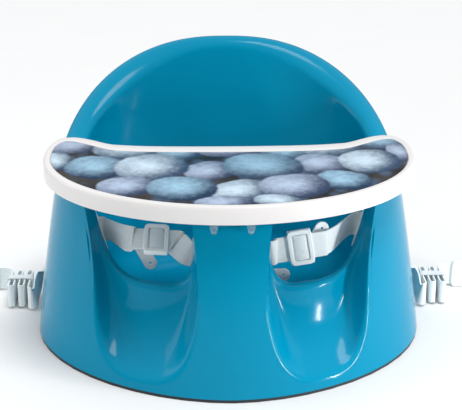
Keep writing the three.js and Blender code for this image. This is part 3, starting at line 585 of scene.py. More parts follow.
def outer_point(azimuth, z):
    """A place on the tub's outside; azimuth 0 is the front."""
    rise = max(z - flare_start, 0) / flare_span
    turned = azimuth * (1 + leg_flare * rise**2 * math.exp(-((azimuth / flare_reach) ** 4)))
    front = math.cos(turned) > 0
    depth = front_depth - front_draft * z + lean * z if front else back_reach(z)
    power = 2 / (front_squareness if front else back_squareness)
    x = side_half(z) * signed_power(math.sin(turned), power)
    return Vector((x, lean * z - depth * signed_power(math.cos(turned), power), z))


def inner_point(azimuth, z):
    """A place on the bowl's wall."""
    side = abs(azimuth)
    shift = leg_shift * math.sin(2 * side) if side < math.pi / 2 else 0
    turned = azimuth + math.copysign(shift, azimuth)
    half = side_half(z) - rim_width - bowl_side_draft * soft_step(bowl_side_top - z)
    depth = bowl_front + lean * z
    n = bowl_squareness
    if math.cos(turned) <= 0:
        depth = back_reach(z) - rim_width - bowl_back_draft * soft_step(bowl_back_top - z)
        n = back_squareness
    radius = ((abs(math.sin(turned)) / half) ** n + (abs(math.cos(turned)) / depth) ** n) ** (-1 / n)
    return Vector((radius * math.sin(turned), lean * z - radius * math.cos(turned), z))


def rim_height(azimuth):
    side = abs(azimuth)
    climb = min(max((side - backrest_start) / (math.pi - backrest_start), 0), 1)
    backrest = (1 - (1 - climb) ** backrest_shoulder) ** backrest_foot
    arm = rim_front + arm_rise * math.sin(side / 2) ** 2
    return arm + (rim_back - rim_front - arm_rise) * backrest


def gutter_side(across, roundness):
    return 1 - (1 - min(abs(across), 1) ** roundness) ** (1 / roundness)


def wall_column(azimuth):
    """What the wall's section is like in one direction: its heights, and its rim as a share of it."""
    away = abs(azimuth) - leg_middle
    rim = rim_height(azimuth)
    side = gutter_side(away / leg_half, leg_roundness)
    outset = gutter_side(away / (leg_half + edge_turn), leg_roundness)
    full = side**4
    from_lip = abs(azimuth) - lip_middle
    lip_edge = leg_middle + math.copysign(leg_half, from_lip)
    base = mix(lip_base, rim, gutter_side(from_lip / (lip_edge - lip_middle), lip_roundness))
    thickness = (outer_point(azimuth, base) - inner_point(azimuth, base)).length
    return {
        "edge": mix(toe_height, rim - edge_drop, side),
        "start": mix(toe_height - edge_radius, rim - edge_drop - edge_radius, outset),
        "base": base,
        "thickness": thickness,
        "half": mix(lip_roll / thickness, 0.5, full),
        "height": mix(lip_roll, rim_roll, full),
    }


def wall_point(azimuth, inward, z):
    return outer_point(azimuth, z).lerp(inner_point(azimuth, z), inward)


def bezier(points, t):
    while len(points) > 1:
        points = [(mix(a[0], b[0], t), mix(a[1], b[1], t)) for a, b in zip(points, points[1:])]
    return points[0]


def ramp_point(column, t):
    """A place on a gutter's ramp, from the outside in, as a share of the wall and a height."""
    reach = 1 - 2 * column["half"]
    edge = column["edge"]
    base = column["base"]
    held = ramp_hold * reach
    rise = held * column["thickness"] * ramp_slope
    return bezier([(0, edge), (held, edge + rise), (reach, (edge + base) / 2), (reach, base)], t)


def shell_point(azimuth, stage, column):
    """A place on the tub: 0 to 1 up the outside, 2 the gutter's edge, 3 its ramp, 4 the rolled rim,
    5 down the bowl, 6 its fillet and 7 the middle of the floor."""
    part = min(int(stage), 6)
    t = stage - part
    if part == 0:
        return wall_point(azimuth, 0, mix(shell_foot, column["start"], t))
    if part == 1:
        bend = [(0, column["start"]), (0, column["edge"]), ramp_point(column, edge_end)]
        return wall_point(azimuth, *bezier(bend, t))
    if part == 2:
        return wall_point(azimuth, *ramp_point(column, mix(edge_end, 1, t)))
    if part == 3:
        angle = math.pi * t
        inward = 1 - column["half"] * (1 + math.cos(angle))
        return wall_point(azimuth, inward, column["base"] + column["height"] * math.sin(angle))
    fillet_top = bowl_floor + bowl_fillet
    if part == 4:
        return inner_point(azimuth, mix(column["base"], fillet_top, t))
    middle = Vector((0, lean * fillet_top, bowl_floor))
    wall = inner_point(azimuth, fillet_top)
    spread = 1 - bowl_fillet / bowl_front
    if part == 5:
        angle = t * math.pi / 2
        place = middle.lerp(wall, mix(1, spread, 1 - math.cos(angle)))
        place.z = fillet_top - bowl_fillet * math.sin(angle)
        return place
    place = middle.lerp(wall, spread * (1 - t))
    place.z = bowl_floor
    return place


def shell_azimuths(leg_steps, rest_steps):
    """The directions of the tub's columns, close together at the edges of the leg openings."""
    half = [leg_middle - leg_half - edge_turn * k for k in (2, 1.5, 1, 0.66, 0.33)]
    half = [half[0] * k for k in (0.25, 0.5, 0.75)] + half
    for i in range(-leg_steps, leg_steps + 1):
        around = i / leg_steps * math.pi / 2
        half.append(leg_middle + leg_half * signed_power(math.sin(around), 2 / leg_roundness))
    start = leg_middle + leg_half
    half += [start + edge_turn * k for k in (0.33, 0.66, 1)]
    start += edge_turn
    half += [start + (math.pi - start) * i / rest_steps for i in range(1, rest_steps)]
    return [-a for a in reversed(half)] + [0] + half + [math.pi]


def ring_faces(rows, wide):
    """Quads between rows of vertices that each close to a ring."""
    return [
        (i * wide + j, i * wide + (j + 1) % wide, (i + 1) * wide + (j + 1) % wide, (i + 1) * wide + j)
        for i in range(rows - 1)
        for j in range(wide)
    ]


def shell_mesh():
    counts = [14, 9, 14, 18, 16, 12, 8]
    stages = [part + i / n for part, n in enumerate(counts) for i in range(n)]
    azimuths = shell_azimuths(28, 76)
    lines = [(azimuth, wall_column(azimuth)) for azimuth in azimuths]
    vertices = [
        shell_point(azimuth, stage, column) * MM for stage in stages for azimuth, column in lines
    ]
    wide = len(azimuths)
    faces = ring_faces(len(stages), wide)
    crown = len(vertices)
    vertices.append(Vector((0, lean * (bowl_floor + bowl_fillet), bowl_floor)) * MM)
    last = (len(stages) - 1) * wide
    faces += [(last + j, last + (j + 1) % wide, crown) for j in range(wide)]
    mesh = bpy.data.meshes.new("shell_skin")
    mesh.from_pydata(vertices, [], faces)
    return mesh


turn_nudge = 0.01
chair_slot_azimuth = math.radians(105.2)
chair_slot_height = 40


def wall_frame(azimuth, z):
    """On the bowl's wall: z out of it into the bowl, y up along it."""
    spot = inner_point(azimuth, z)
    up = (inner_point(azimuth, z + 1) - spot).normalized()
    along = inner_point(azimuth + turn_nudge, z) - inner_point(azimuth - turn_nudge, z)
    normal = up.cross(along.normalized()).normalized()
    if normal.dot(Vector((-spot.x, -spot.y, 0))) < 0:
        normal.negate()
    return basis(up.cross(normal).normalized(), up, normal, spot)


def chair_frame(side):
    """At a chair strap's slot in the outside: z straight out, y up."""
    azimuth = side * chair_slot_azimuth
    spot = outer_point(azimuth, chair_slot_height)
    along = (outer_point(azimuth + turn_nudge, chair_slot_height) - spot).normalized()
    up = Vector((0, 0, 1))
    out = along.cross(up).normalized()
    if out.x * side < 0:
        out.negate()
    return basis(up.cross(out).normalized(), up, out, spot)


tray_tilt = math.radians(5.7)
tray_frame = at(0, tray_middle, 173.1) @ Matrix.Rotation(tray_tilt, 4, "X")
anchor_azimuth = math.radians(54)
anchor_frames = {"left": wall_frame(-anchor_azimuth, 121), "right": wall_frame(anchor_azimuth, 124)}
chair_frames = {name: chair_frame(side) for name, side in sides}
crotch_spot = (8, -58, 48.3)
pocket_width = 37.6
pocket_depth = 14.6
pocket_wall = 2.6
pocket_height = 44
pocket_middle = -25
pocket_floor = -46.1
pocket_cut = (pocket_width, pocket_depth, 70)
lap_slot = (3.6, 27.4, 14)
chair_slot = (25.7, 2.3, 20)
crotch_slot = (27.4, 3.6, 14)


def build_shell():
    """The tub's skin, given its wall, the pocket for the tray's peg and the webbing's slots."""
    shell = bpy.data.objects.new("shell_body", shell_mesh())
    scene.collection.objects.link(shell)
    solid = shell.modifiers.new("wall", "SOLIDIFY")
    solid.thickness = shell_wall * MM
    solid.offset = -1
    cutter = bpy.data.objects.new("cutter", bpy.data.meshes.new("cutter"))
    scene.collection.objects.link(cutter)
    maker = bmesh.new()
    add_box(maker, pocket_cut, tray_frame @ at(0, 0, -9.8))
    for pose in anchor_frames.values():
        add_box(maker, lap_slot, pose @ at(0, 0, -3))
    for pose in chair_frames.values():
        add_box(maker, chair_slot, pose)
    add_box(maker, crotch_slot, at(*crotch_spot))
    maker.to_mesh(cutter.data)
    maker.free()
    cut = shell.modifiers.new("slots", "BOOLEAN")
    cut.operation = "DIFFERENCE"
    cut.solver = "EXACT"
    cut.object = cutter
    mesh = evaluated(shell)
    bpy.data.objects.remove(cutter)
    maker = bmesh.new()
    maker.from_mesh(mesh)
    broad = pocket_width + 2 * pocket_wall
    deep = pocket_depth + 2 * pocket_wall
    x = (pocket_width + pocket_wall) / 2
    for pose in (at(-x, 0, pocket_middle), at(x, 0, pocket_middle)):
        add_box(maker, (pocket_wall, deep, pocket_height), tray_frame @ pose)
    y = (pocket_depth + pocket_wall) / 2
    for pose in (at(0, -y, pocket_middle), at(0, y, pocket_middle)):
        add_box(maker, (pocket_width, pocket_wall, pocket_height), tray_frame @ pose)
    add_box(maker, (broad, deep, pocket_wall), tray_frame @ at(0, 0, pocket_floor))
    maker.to_mesh(mesh)
    maker.free()
    smooth(mesh, 42)
    add_object("shell_skin", mesh, blue, "seat", ["seat_shell"])


rib_count = 6
rib_start = 20
rib_middle = 29.5
rib_top = 46
rib_gap = 4


def bowl_ribs():
    """Ribs under the bowl, from near its middle out to the tub's wall."""
    growth = Growth("rib_tree", thickness=2.4 * MM, height=32 * MM)
    turns = []
    reaches = []
    points = []
    wall = [outer_point(math.radians(i), rib_top) for i in range(360)]
    for i in range(rib_count):
        turn = (i + 0.5) / rib_count * 2 * math.pi
        ray = Vector((math.cos(turn), math.sin(turn)))
        nearest = max(wall, key=lambda spot: spot.xy.normalized().dot(ray))
        reach = nearest.xy.length - rib_gap - rib_start
        away = rib_start + reach / 2
        points.append(Vector((away * math.cos(turn), away * math.sin(turn), rib_middle)) * MM)
        turns.append(turn)
        reaches.append(reach * MM)
    block = growth.node("GeometryNodeMeshCube", {}, Size=(1, 1, 1))
    turn_vector = growth.vector(z=growth.attribute("turn", "FLOAT"))
    turned = growth.node("FunctionNodeEulerToRotation", {}, Euler=turn_vector)
    long = growth.attribute("reach", "FLOAT")
    sized = growth.vector(long, growth.given("thickness"), growth.given("height"))
    mesh = growth.grow(
        "bowl_ribs",
        points,
        {"turn": ("FLOAT", turns), "reach": ("FLOAT", reaches)},
        block,
        blue,
        Rotation=turned,
        Scale=sized,
    )
    add_object("bowl_ribs", mesh, blue, "seat")


build_shell()
bowl_ribs()

# Tray

tray_half = 179
tray_widest = 82
tray_front = 123.5
tray_back = 104.5
tray_wings = [
    (tray_half, tray_widest),
    (178.6, 97),
    (176, 112),
    (168, 127),
    (156.5, 131.5),
    (144.6, 128.8),
    (132, 122),
    (119.5, 114),
    (107, 110),
    (71, 106),
    (0, tray_back),
    (-71, 106),
]
tray_heart = (0, 20)
tray_bottom = 13.6
recess_start = 2.9
recess_end = 6.4
back_rim_half = 172
back_rim_extra = 9
back_rim_start = 70
back_rim_span = 25


def smooth_line(points, steps):
    """A smooth line through the points; the first and last one only steer it."""
    line = []
    for i in range(1, len(points) - 2):
        p0, p1, p2, p3 = (Vector(point) for point in points[i - 1 : i + 3])
        for k in range(steps):
            t = k / steps
            a = 2 * p1 + (p2 - p0) * t
            b = (2 * p0 - 5 * p1 + 4 * p2 - p3) * t**2
            c = (3 * p1 - p0 - 3 * p2 + p3) * t**3
            line.append((a + b + c) / 2)
    return line


def tray_outline():
    """Half an ellipse in front, a wing on each side and the back edge between them."""
    front = []
    for i in range(121):
        turn = -math.pi + i / 120 * math.pi
        x = tray_half * math.cos(turn)
        front.append(Vector((x, tray_widest + tray_front * math.sin(turn))))
    line = smooth_line([(tray_half, 70)] + tray_wings, 7)[1:]
    wing = [point for point in line if point.x > 0]
    mirrored = [Vector((-point.x, point.y)) for point in reversed(wing)]
    return front + wing + [Vector((0, tray_back))] + mirrored


def inset(outline, distance):
    """The outline moved inwards by one distance all round."""
    moved = []
    for i, point in enumerate(outline):
        edge = (outline[(i + 1) % len(outline)] - outline[i - 1]).normalized()
        moved.append(Vector((point.x - edge.y * distance, point.y + edge.x * distance)))
    return moved


def recess_line(outline, step):
    """The outline moved inwards; from the recess's edge on it leaves a broader rim at the back."""
    moved = inset(outline, step)
    share = min(max((step - recess_start) / (recess_end - recess_start), 0), 1)
    for point in moved:
        reach = max(1 - (point.x / back_rim_half) ** 8, 0)
        backward = min(max((point.y - back_rim_start) / back_rim_span, 0), 1)
        point.y -= share * back_rim_extra * reach * backward
    return moved


def stack_mesh(name, outline, levels, matrix, centre):
    """A closed mesh through levels of the outline, each level an inset and a height."""
    wide = len(outline)
    vertices = []
    for step, z in levels:
        vertices += [Vector((point.x, point.y, z)) * MM for point in recess_line(outline, step)]
    faces = ring_faces(len(levels), wide)
    for row, flip in ((0, True), (len(levels) - 1, False)):
        middle = len(vertices)
        vertices.append(Vector((*centre, levels[row][1])) * MM)
        for j in range(wide):
            a = row * wide + j
            b = row * wide + (j + 1) % wide
            faces.append((b, a, middle) if flip else (a, b, middle))
    mesh = bpy.data.meshes.new(name)
    mesh.from_pydata([matrix @ vertex for vertex in vertices], [], faces)
    return mesh


tray_shape = tray_outline()
tray_levels = [
    (2.9, 13.5),
    (2.6, 13.1),
    (2.6, 0.5),
    (2.2, 0.0),
    (0.7, 0.0),
    (0.2, 0.3),
    (0.0, 1.0),
    (0.0, 13.6),
    (0.25, 15.0),
    (0.9, 16.3),
    (1.8, 17.15),
    (2.9, 17.5),
    (5.6, 17.5),
    (6.4, 17.35),
    (6.9, 16.95),
    (7.1, 16.4),
    (7.2, 15.9),
]
sheet_levels = [(7.6, 16.2), (7.5, 16.4), (7.5, 17.05), (7.75, 17.2)]
pad_width = 14
pad_reach = 9.1
pad_gap = 0.3


def rest_pad(side):
    """Where the tray rests on the arm: its middle, its bottom, in the tray's frame."""
    to_tray = tray_frame.inverted()
    crests = []
    for i in range(101):
        azimuth = side * math.radians(40 + i / 2)
        wall = wall_column(azimuth)
        crest = wall_point(azimuth, 0.5, wall["base"] + wall["height"])
        crests.append(to_tray @ (crest * MM) / MM)
    under = [crest for crest in crests if abs(crest.y - tray_widest) < pad_reach]
    middle = min(under, key=lambda crest: abs(crest.y - tray_widest))
    return middle.x, middle.y, max(crest.z for crest in under) + pad_gap


def build_tray():
    """The tray with a block over its peg and a pad on each arm, and the printed sheet in it."""
    skin = stack_mesh("tray_skin", tray_shape, tray_levels, tray_frame, tray_heart)
    pads = [soft_box((70, 54, 3.2), tray_frame @ at(0, -12, 12.1))]
    for _, side in sides:
        x, y, bottom = rest_pad(side)
        height = tray_bottom - bottom
        pose = tray_frame @ at(x, y, bottom + height / 2)
        pads.append(soft_box((pad_width, pad_width, height), pose, 0.8))
    tray = joined("tray_skin", skin, *pads)
    add_object("tray_skin", tray, white, "tray", ["tray_top"])
    sheet = stack_mesh("print_skin", tray_shape, sheet_levels, tray_frame, tray_heart)
    smooth(sheet)
    add_object("print_skin", sheet, print_sheet, "tray", ["print_insert"])


build_tray()

# Webbing

strap_half = 12.4
strap_thick = 0.78
strap_section = [
    (1, -0.45),
    (1, 0.45),
    (0.975, 1),
    (-0.975, 1),
    (-1, 0.45),
    (-1, -0.45),
    (-0.975, -1),
    (0.975, -1),
]


def cloth_mesh(name, vertices, uvs, wide):
    """A closed tube of rings, each of so many vertices, with its UV map in metres."""
    rows = len(vertices) // wide
    faces = ring_faces(rows, wide)
    faces.append(tuple(reversed(range(wide))))
    faces.append(tuple(range((rows - 1) * wide, rows * wide)))
    mesh = bpy.data.meshes.new(name)
    mesh.from_pydata(vertices, [], faces)
    layer = mesh.uv_layers.new(name="cloth")
    for loop in mesh.loops:
        layer.data[loop.index].uv = uvs[loop.vertex_index]
    return mesh


def strap_mesh(name, path, steps):
    """Webbing along a smooth line through the path of points and width directions."""
    spots = [spot for spot, _ in path]
    axes = [axis for _, axis in path]
    lead = [spots[0] * 2 - spots[1]]
    tail = [spots[-1] * 2 - spots[-2]]
    points = smooth_line(lead + spots + tail, steps) + [spots[-1]]
    widths = smooth_line([axes[0]] + axes + [axes[-1]], steps) + [axes[-1]]
    vertices = []
    uvs = []
    travelled = 0
    for i, point in enumerate(points):
        heading = (points[min(i + 1, len(points) - 1)] - points[max(i - 1, 0)]).normalized()
        wide = (widths[i] - heading * widths[i].dot(heading)).normalized()
        face = heading.cross(wide)
        if i:
            travelled += (point - points[i - 1]).length
        for across, outward in strap_section:
            spot = point + wide * across * strap_half + face * outward * strap_thick
            vertices.append(spot * MM)
            uvs.append((across * strap_half * MM, travelled * MM))
    mesh = cloth_mesh(name, vertices, uvs, len(strap_section))
    smooth(mesh, 50)
    return mesh


def add_strap(name, path, steps, node):
    add_object(name, strap_mesh(name, path, steps), webbing, "seat", [node])


# Each lap strap runs straight from start to end, both an x, and carries its slider there; outer and
# inner are its heights at those ends, and the webbing leans back by so many degrees.
strap_runs = {
    "left": {
        "start": 88,
        "end": 56,
        "y": -79,
        "outer": 125.5,
        "inner": 123.6,
        "lean": 60,
        "sag": 5,
        "slider": 71,
    },
    "right": {
        "start": 87,
        "end": 46,
        "y": -80,
        "outer": 119,
        "inner": 112.5,
        "lean": 4,
        "sag": -2,
        "slider": 67.3,
    },
}
buckle_middle = Vector((0, -82, 111.5))
buckle_half = 22
tongue_loop = [
    (15.5, -3),
    (12.2, -3),
    (9.6, -2.4),
    (8.5, -1.2),
    (8.3, 0.4),
    (8.7, 1.8),
    (10, 2.7),
    (12.4, 2.9),
    (14.5, 2.8),
]


def leaning(degrees):
    angle = math.radians(degrees)
    return Vector((0, math.sin(angle), math.cos(angle)))


def lap_strap(name, side):
    """From the slot in the anchor, in a slack curve, over the straight run and round the tongue."""
    run = strap_runs[name]
    anchor = anchor_frames[name]
    wall_up = column(anchor, 1)
    leant = leaning(run["lean"])
    upright = leaning(0)
    start = Vector((side * run["start"], run["y"], run["outer"]))
    end = Vector((side * run["end"], run["y"], run["inner"]))
    sag = run["sag"]
    p0 = in_frame(anchor, 0, 0, 6)
    p1 = in_frame(anchor, 0, 0, 15) - Vector((0, 0, sag / 2))
    p2 = start + Vector((side * 14, 0, -sag * 0.7))
    path = [(in_frame(anchor, 0, 0, z), wall_up) for z in (-6, 0)]
    for i in range(8):
        t = i / 7
        spot = p0 * (1 - t) ** 3 + 3 * p1 * t * (1 - t) ** 2 + 3 * p2 * t * t * (1 - t) + start * t**3
        path.append((spot, wall_up.lerp(leant, t * t)))
    loop = []
    for reach, y in tongue_loop:
        loop.append(buckle_middle + Vector((side * (buckle_half + reach), y, 0)))
    for i in range(4):
        t = i / 4
        early = 1 - (1 - t) ** 3
        spot = end.lerp(loop[0], t)
        spot.y = mix(run["y"], loop[0].y - 0.4, early)
        spot.z = mix(run["inner"], buckle_middle.z, t * t * (3 - 2 * t))
        path.append((spot, leant.lerp(upright, early)))
    return path + [(spot, upright) for spot in loop]


def crotch_strap():
    """Up from the slot in the floor to the back of the buckle."""
    climb = [
        (43, 0),
        (48, 0),
        (53, -0.2),
        (56.5, -2),
        (58.6, -5.5),
        (60.2, -10),
        (63, -15),
        (68, -19.6),
        (74, -22.6),
        (80, -24.2),
        (86, -24.8),
        (102.5, -24.8),
    ]
    x, y, _ = crotch_spot
    return [(Vector((x, y + forward, z)), Vector((1, 0, 0))) for z, forward in climb]


def chair_strap(name, side):
    """Out of its slot, turned upright, in five folded layers and on to the buckle."""
    slot = chair_frames[name]
    flat = column(slot, 0)
    if flat.y > 0:
        flat.negate()
    upright = Vector((0, 0, 1))
    middle = 14.6
    pitch = 5.4
    layers = 5
    first = 214.5
    near = 47
    far = 86
    path = [(in_frame(slot, 0, 0, z), flat) for z in (-9, 0, 4)]
    twist = [
        (198.6, 62.6, 38.4, 0),
        (202, 61, 34.4, 0.1),
        (204, 56.5, 28.6, 0.3),
        (205.4, 50, 22.6, 0.6),
        (206.2, 44, 17.6, 0.85),
        (207.4, 40, 15.2, 1),
        (210, 38, middle, 1),
        (212.8, 39.4, middle, 1),
        (first, 43.5, middle, 1),
    ]
    for x, y, z, share in twist:
        path.append((Vector((side * x, y, z)), flat.lerp(upright, share).normalized()))
    for layer in range(layers):
        x = first + layer * pitch
        forward = layer % 2 == 0
        ends = (near, far) if forward else (far, near)
        for share in (0, 0.33, 0.67, 1):
            path.append((Vector((side * x, mix(*ends, share), middle)), upright))
        if layer == layers - 1:
            break
        for share in (0.25, 0.5, 0.75):
            around = share * math.pi
            bulge = pitch / 2 * math.sin(around) * (1 if forward else -1)
            away = x + pitch / 2 * (1 - math.cos(around))
            path.append((Vector((side * away, ends[1] + bulge, middle)), upright))
    for x, y in ((237, 91.5), (240.2, 95), (245, 96.6), (251, 97), (258, 97)):
        path.append((Vector((side * x, y, middle)), upright))
    return path


for name, side in sides:
    add_strap(f"lap_webbing_{name}", lap_strap(name, side), 4, f"lap_strap_{name}")
    add_strap(f"chair_webbing_{name}", chair_strap(name, side), 4, f"chair_strap_{name}")
add_strap("crotch_webbing", crotch_strap(), 5, "crotch_strap")

# Sliders: a soft-edged frame with the webbing's fold over its bar

fold_half = 6.9
fold_rise = 1.9
fold_base = 1.1


def slider_frame(name, side):
    run = strap_runs[name]
    length = run["start"] - run["end"]
    along = Vector((length, 0, side * (run["outer"] - run["inner"]))).normalized()
    up = leaning(run["lean"])
    up = (up - along * up.dot(along)).normalized()
    share = (run["slider"] - run["end"]) / length
    spot = Vector((side * run["slider"], run["y"], mix(run["inner"], run["outer"], share)))
    return basis(along, up, along.cross(up).normalized(), spot)


def fold_mesh(name, pose):
    """The webbing where it passes over the middle bar: an arch in the slider's window."""
    turns = [math.pi * (i / 24 - 0.5) for i in range(25)]
    levels = [(-12.6, 0.72), (-12.2, 0.95), (-11.2, 1.0), (11.2, 1.0), (12.2, 0.95), (12.6, 0.72)]
    vertices = []
    uvs = []
    for y, swell in levels:
        narrow = mix(0.97, 1, swell)
        above = [(turn, narrow, 0) for turn in turns]
        below = [(turn, 0.93, -0.7) for turn in reversed(turns)]
        for turn, share, drop in above + below:
            x = fold_half * math.sin(turn) * share
            z = (fold_base + fold_rise * math.cos(turn)) * swell + drop
            vertices.append(pose @ (Vector((x, y, z)) * MM))
            uvs.append((y * MM, turn * fold_half * MM))
    mesh = cloth_mesh(name, vertices, uvs, 2 * len(turns))
    maker = bmesh.new()
    maker.from_mesh(mesh)
    bmesh.ops.recalc_face_normals(maker, faces=maker.faces)
    maker.to_mesh(mesh)
    maker.free()
    smooth(mesh, 50)
    return mesh


def build_slider(name, side):
    pose = slider_frame(name, side)
    window = rounded(15.2, 25.8, 1.6)
    parts = [cut_plate([rounded(24, 35, 5.2), window], 2.3, 0.9, pose @ at(0, 0, 1.85))]
    for end in (-1, 1):
        parts.append(soft_box((22.6, 4.0, 4.6), pose @ at(0, end * 15.2, -0.5), 1.0))
    parts.append(soft_box((4.2, 28, 1.8), pose @ at(0, 0, -2.0), 0.6))
    mesh = joined(f"slider_frame_{name}", *parts)
    body = f"slider_{name}"
    add_object(f"slider_frame_{name}", mesh, fitting, body, [f"slider_{name}"])
    fold = fold_mesh(f"slider_fold_{name}", pose)
    add_object(f"slider_fold_{name}", fold, webbing, body)


for name, side in sides:
    build_slider(name, side)

# Oblong plates and anchors


def add_plate(name, outlines, thickness, edge, pose, node):
    mesh = joined(name, cut_plate(outlines, thickness, edge, pose))
    add_object(name, mesh, fitting, "seat", [node])


def oblong_plate(name, turn, spot):
    """A plate with round ends and an eye in each end, turned by so many degrees, on edge."""
    outline = rounded(47, 13, 6.49, 12)
    eyes = [circle(x, 0, 1.2, 16) for x in (-17, 17)]
    turned = Matrix.Rotation(math.radians(turn), 4, "Y") @ Matrix.Rotation(math.pi / 2, 4, "X")
    pose = at(*spot) @ turned
    add_plate(f"oblong_{name}", [outline, *eyes], 2.2, 0.55, pose, f"strap_plate_{name}")


oblong_plate("left", 62.8, (-85.4, -67.4, 111.1))
oblong_plate("right", -63, (80, -74.5, 118))
oblong_plate("crotch", -3, (34, -79.8, 86.5))

screw_span = 18.3
crotch_screw_span = 20
bore_radius = 3.7
for name, _ in sides:
    slot = rounded(5, 27, 0.8, 4)
    bores = [circle(0, end * screw_span, bore_radius, 24) for end in (-1, 1)]
    pose = anchor_frames[name] @ at(0, 0, 3.3)
    outlines = [rounded(18, 45, 4), slot, *bores]
    add_plate(f"anchor_{name}", outlines, 2.6, 0.5, pose, f"lap_anchor_{name}")
slot = rounded(27.4, 5, 0.8, 4)
bores = [circle(end * crotch_screw_span, 0, bore_radius, 24) for end in (-1, 1)]
pose = at(*crotch_spot) @ at(0, 0, 1.5)
add_plate("anchor_crotch", [rounded(54, 15, 4), slot, *bores], 3, 0.5, pose, "crotch_anchor")

# Screws: a head with a cross in it and a shank, grown on their places


def screw_places():
    """For each body: where its screws' heads are and which way they face, and their CAD nodes."""
    down = Matrix.Rotation(math.pi, 4, "X")
    seat_screws = []
    tray_screws = []
    for name, side in sides:
        for place, end in (("lower", -1), ("upper", 1)):
            spot = anchor_frames[name] @ at(0, end * screw_span, 5.2)
            seat_screws.append((spot, f"lap_screw_{name}_{place}"))
        spot = at(*crotch_spot) @ at(side * crotch_screw_span, 0, 3.4)
        seat_screws.append((spot, f"crotch_screw_{name}"))
        spot = tray_frame @ at(side * 12, 0, 15.8)
        tray_screws.append((spot, f"peg_screw_{name}"))
        spot = tray_frame @ at(side * 6, -27, 1.3) @ down
        tray_screws.append((spot, f"housing_screw_{name}"))
    return {"seat": seat_screws, "tray": tray_screws}


def build_screws(body, screws, shank):
    growth = Growth(
        f"{body}_screw_tree",
        head_radius=3.55 * MM,
        head_height=1.95 * MM,
        shank_radius=1.55 * MM,
        shank_length=shank * MM,
        cross_length=4.2 * MM,
        cross_width=0.9 * MM,
        cross_depth=1.8 * MM,
    )
    radius = growth.given("head_radius")
    height = growth.given("head_height")
    head = growth.node(
        "GeometryNodeMeshCone",
        {"fill_type": "NGON"},
        Vertices=28,
        Side_Segments=1,
        Radius_Top=radius * 0.8,
        Radius_Bottom=radius,
        Depth=height,
    )
    head = growth.moved(head, z=height * -1)
    long, narrow, deep = (growth.given(f"cross_{name}") for name in ("length", "width", "depth"))
    bars = [
        growth.node("GeometryNodeMeshCube", {}, growth.vector(x, y, deep))
        for x, y in ((long, narrow), (narrow, long))
    ]
    union = {"operation": "UNION", "solver": "EXACT"}
    cross = growth.node("GeometryNodeMeshBoolean", union, Mesh_2=bars)
    difference = {"operation": "DIFFERENCE", "solver": "EXACT"}
    cut = growth.node("GeometryNodeMeshBoolean", difference, Mesh_1=head, Mesh_2=cross)
    length = growth.given("shank_length")
    stem = growth.node(
        "GeometryNodeMeshCylinder",
        {"fill_type": "NGON"},
        Vertices=16,
        Radius=growth.given("shank_radius"),
        Depth=length,
    )
    stem = growth.moved(stem, z=(height * 1.9 + length) * -0.5)
    whole = growth.node("GeometryNodeJoinGeometry", {}, Geometry=[cut, stem])
    heading = growth.attribute("heading", "FLOAT_VECTOR")
    turned = growth.node("FunctionNodeAlignRotationToVector", {"axis": "Z"}, Vector=heading)
    points = [matrix.translation.copy() for matrix, _ in screws]
    headings = {"heading": ("FLOAT_VECTOR", [column(matrix, 2) for matrix, _ in screws])}
    name = f"{body}_screws"
    mesh = growth.grow(name, points, headings, whole, steel, Rotation=turned)
    smooth(mesh, 35)
    add_object(name, mesh, steel, body, [node for _, node in screws])


shank_lengths = {"seat": 6, "tray": 10}
for body, screws in screw_places().items():
    build_screws(body, screws, shank_lengths[body])

# The other hard pieces of the CAD: softened edges and their finishes

slot_finishes = {
    "dark_grip": grip,
    "keeper_band": keeper,
    "white_tray": white,
    "clear_plastic": clear,
    "pale_fitting": fitting,
    "steel": steel,
    "grey_button": button_grey,
}
node_slots = {part["node"]: part["material_slot"] for part in frame["record"]["subparts"]}
for name, obj in frame["nodes"].items():
    finish = slot_finishes.get(node_slots[name])
    if obj.hide_render or finish is None:
        continue
    obj.data.materials.clear()
    obj.data.materials.append(finish)
    bevel = obj.modifiers.new("soft_edges", "BEVEL")
    bevel.width = 0.35 * MM
    bevel.segments = 2
    bevel.limit_method = "ANGLE"
    bevel.angle_limit = math.radians(35)
    bevel.harden_normals = True

# Floor, backdrop and lights


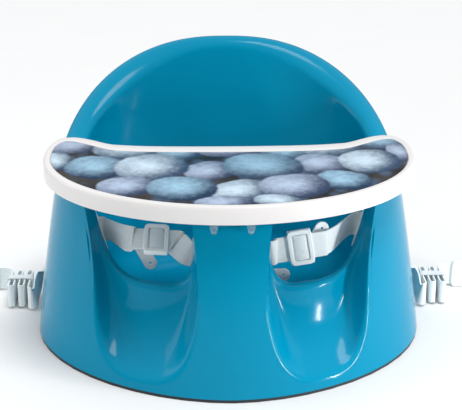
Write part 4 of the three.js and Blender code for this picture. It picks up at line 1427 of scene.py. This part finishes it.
def floor_finish():
    f = Finish("floor")
    return f.done(
        Base_Color=f.mix(f.noise(6.0), rgb(231, 232, 232), rgb(228, 229, 229)),
        Roughness=0.9,
        Specular_IOR_Level=0.2,
    )


maker = bmesh.new()
bmesh.ops.create_grid(maker, x_segments=2, y_segments=2, size=6)
floor_mesh = bpy.data.meshes.new("floor")
maker.to_mesh(floor_mesh)
maker.free()
floor_mesh.materials.append(floor_finish())
floor = bpy.data.objects.new("floor", floor_mesh)
scene.collection.objects.link(floor)


class Sky(Finish):
    """The studio round the seat: a background whose brightness depends on the side."""

    def __init__(self, name):
        self.world = bpy.data.worlds.new(name)
        self.world.use_nodes = True
        self.tree = self.world.node_tree
        self.surface = self.tree.nodes["Background"]


low_glow = (0.09, 0.09, 0.094, 1)
high_glow = (0.95, 0.95, 0.96, 1)
studio = Sky("studio")
east, north, up = studio.axes(studio.place("Generated"))
above = (abs(east) * 0.25 + north * 0.15 + up).step(0.15, 1.1)
studio.feed(studio.surface.inputs["Color"], studio.mix(above, low_glow, high_glow))
scene.world = studio.world
seat_middle = (0, 0, 0.12)


def light(name, kind, spot, target, power, **shape):
    data = bpy.data.lights.new(name, kind)
    data.energy = power
    for key, value in shape.items():
        setattr(data, key, value)
    obj = bpy.data.objects.new(name, data)
    obj.location = spot
    obj.rotation_euler = (Vector(target) - Vector(spot)).to_track_quat("-Z", "Y").to_euler()
    scene.collection.objects.link(obj)
    return obj


def softbox(name, spot, width, height, power):
    """A lit panel that faces the seat; sizes in metres, power in watts."""
    box = light(name, "AREA", spot, seat_middle, power, shape="RECTANGLE", size=width, size_y=height)
    box.visible_camera = False
    return box


light("sun", "SUN", (0.3, -0.22, 1), (0, 0, 0), power=1.7, angle=math.radians(25))
softbox("left_box", (-1.3, -0.1, 0.5), width=0.5, height=1.0, power=3.2)
softbox("right_box", (1.3, -0.1, 0.5), width=0.5, height=1.0, power=1.0)
softbox("right_strip", (0.61, -0.43, 0.1), width=0.04, height=0.19, power=2.4)
fill = softbox("fill", (-0.9, -1.4, 0.55), width=1.2, height=0.6, power=4)
fill.visible_glossy = False
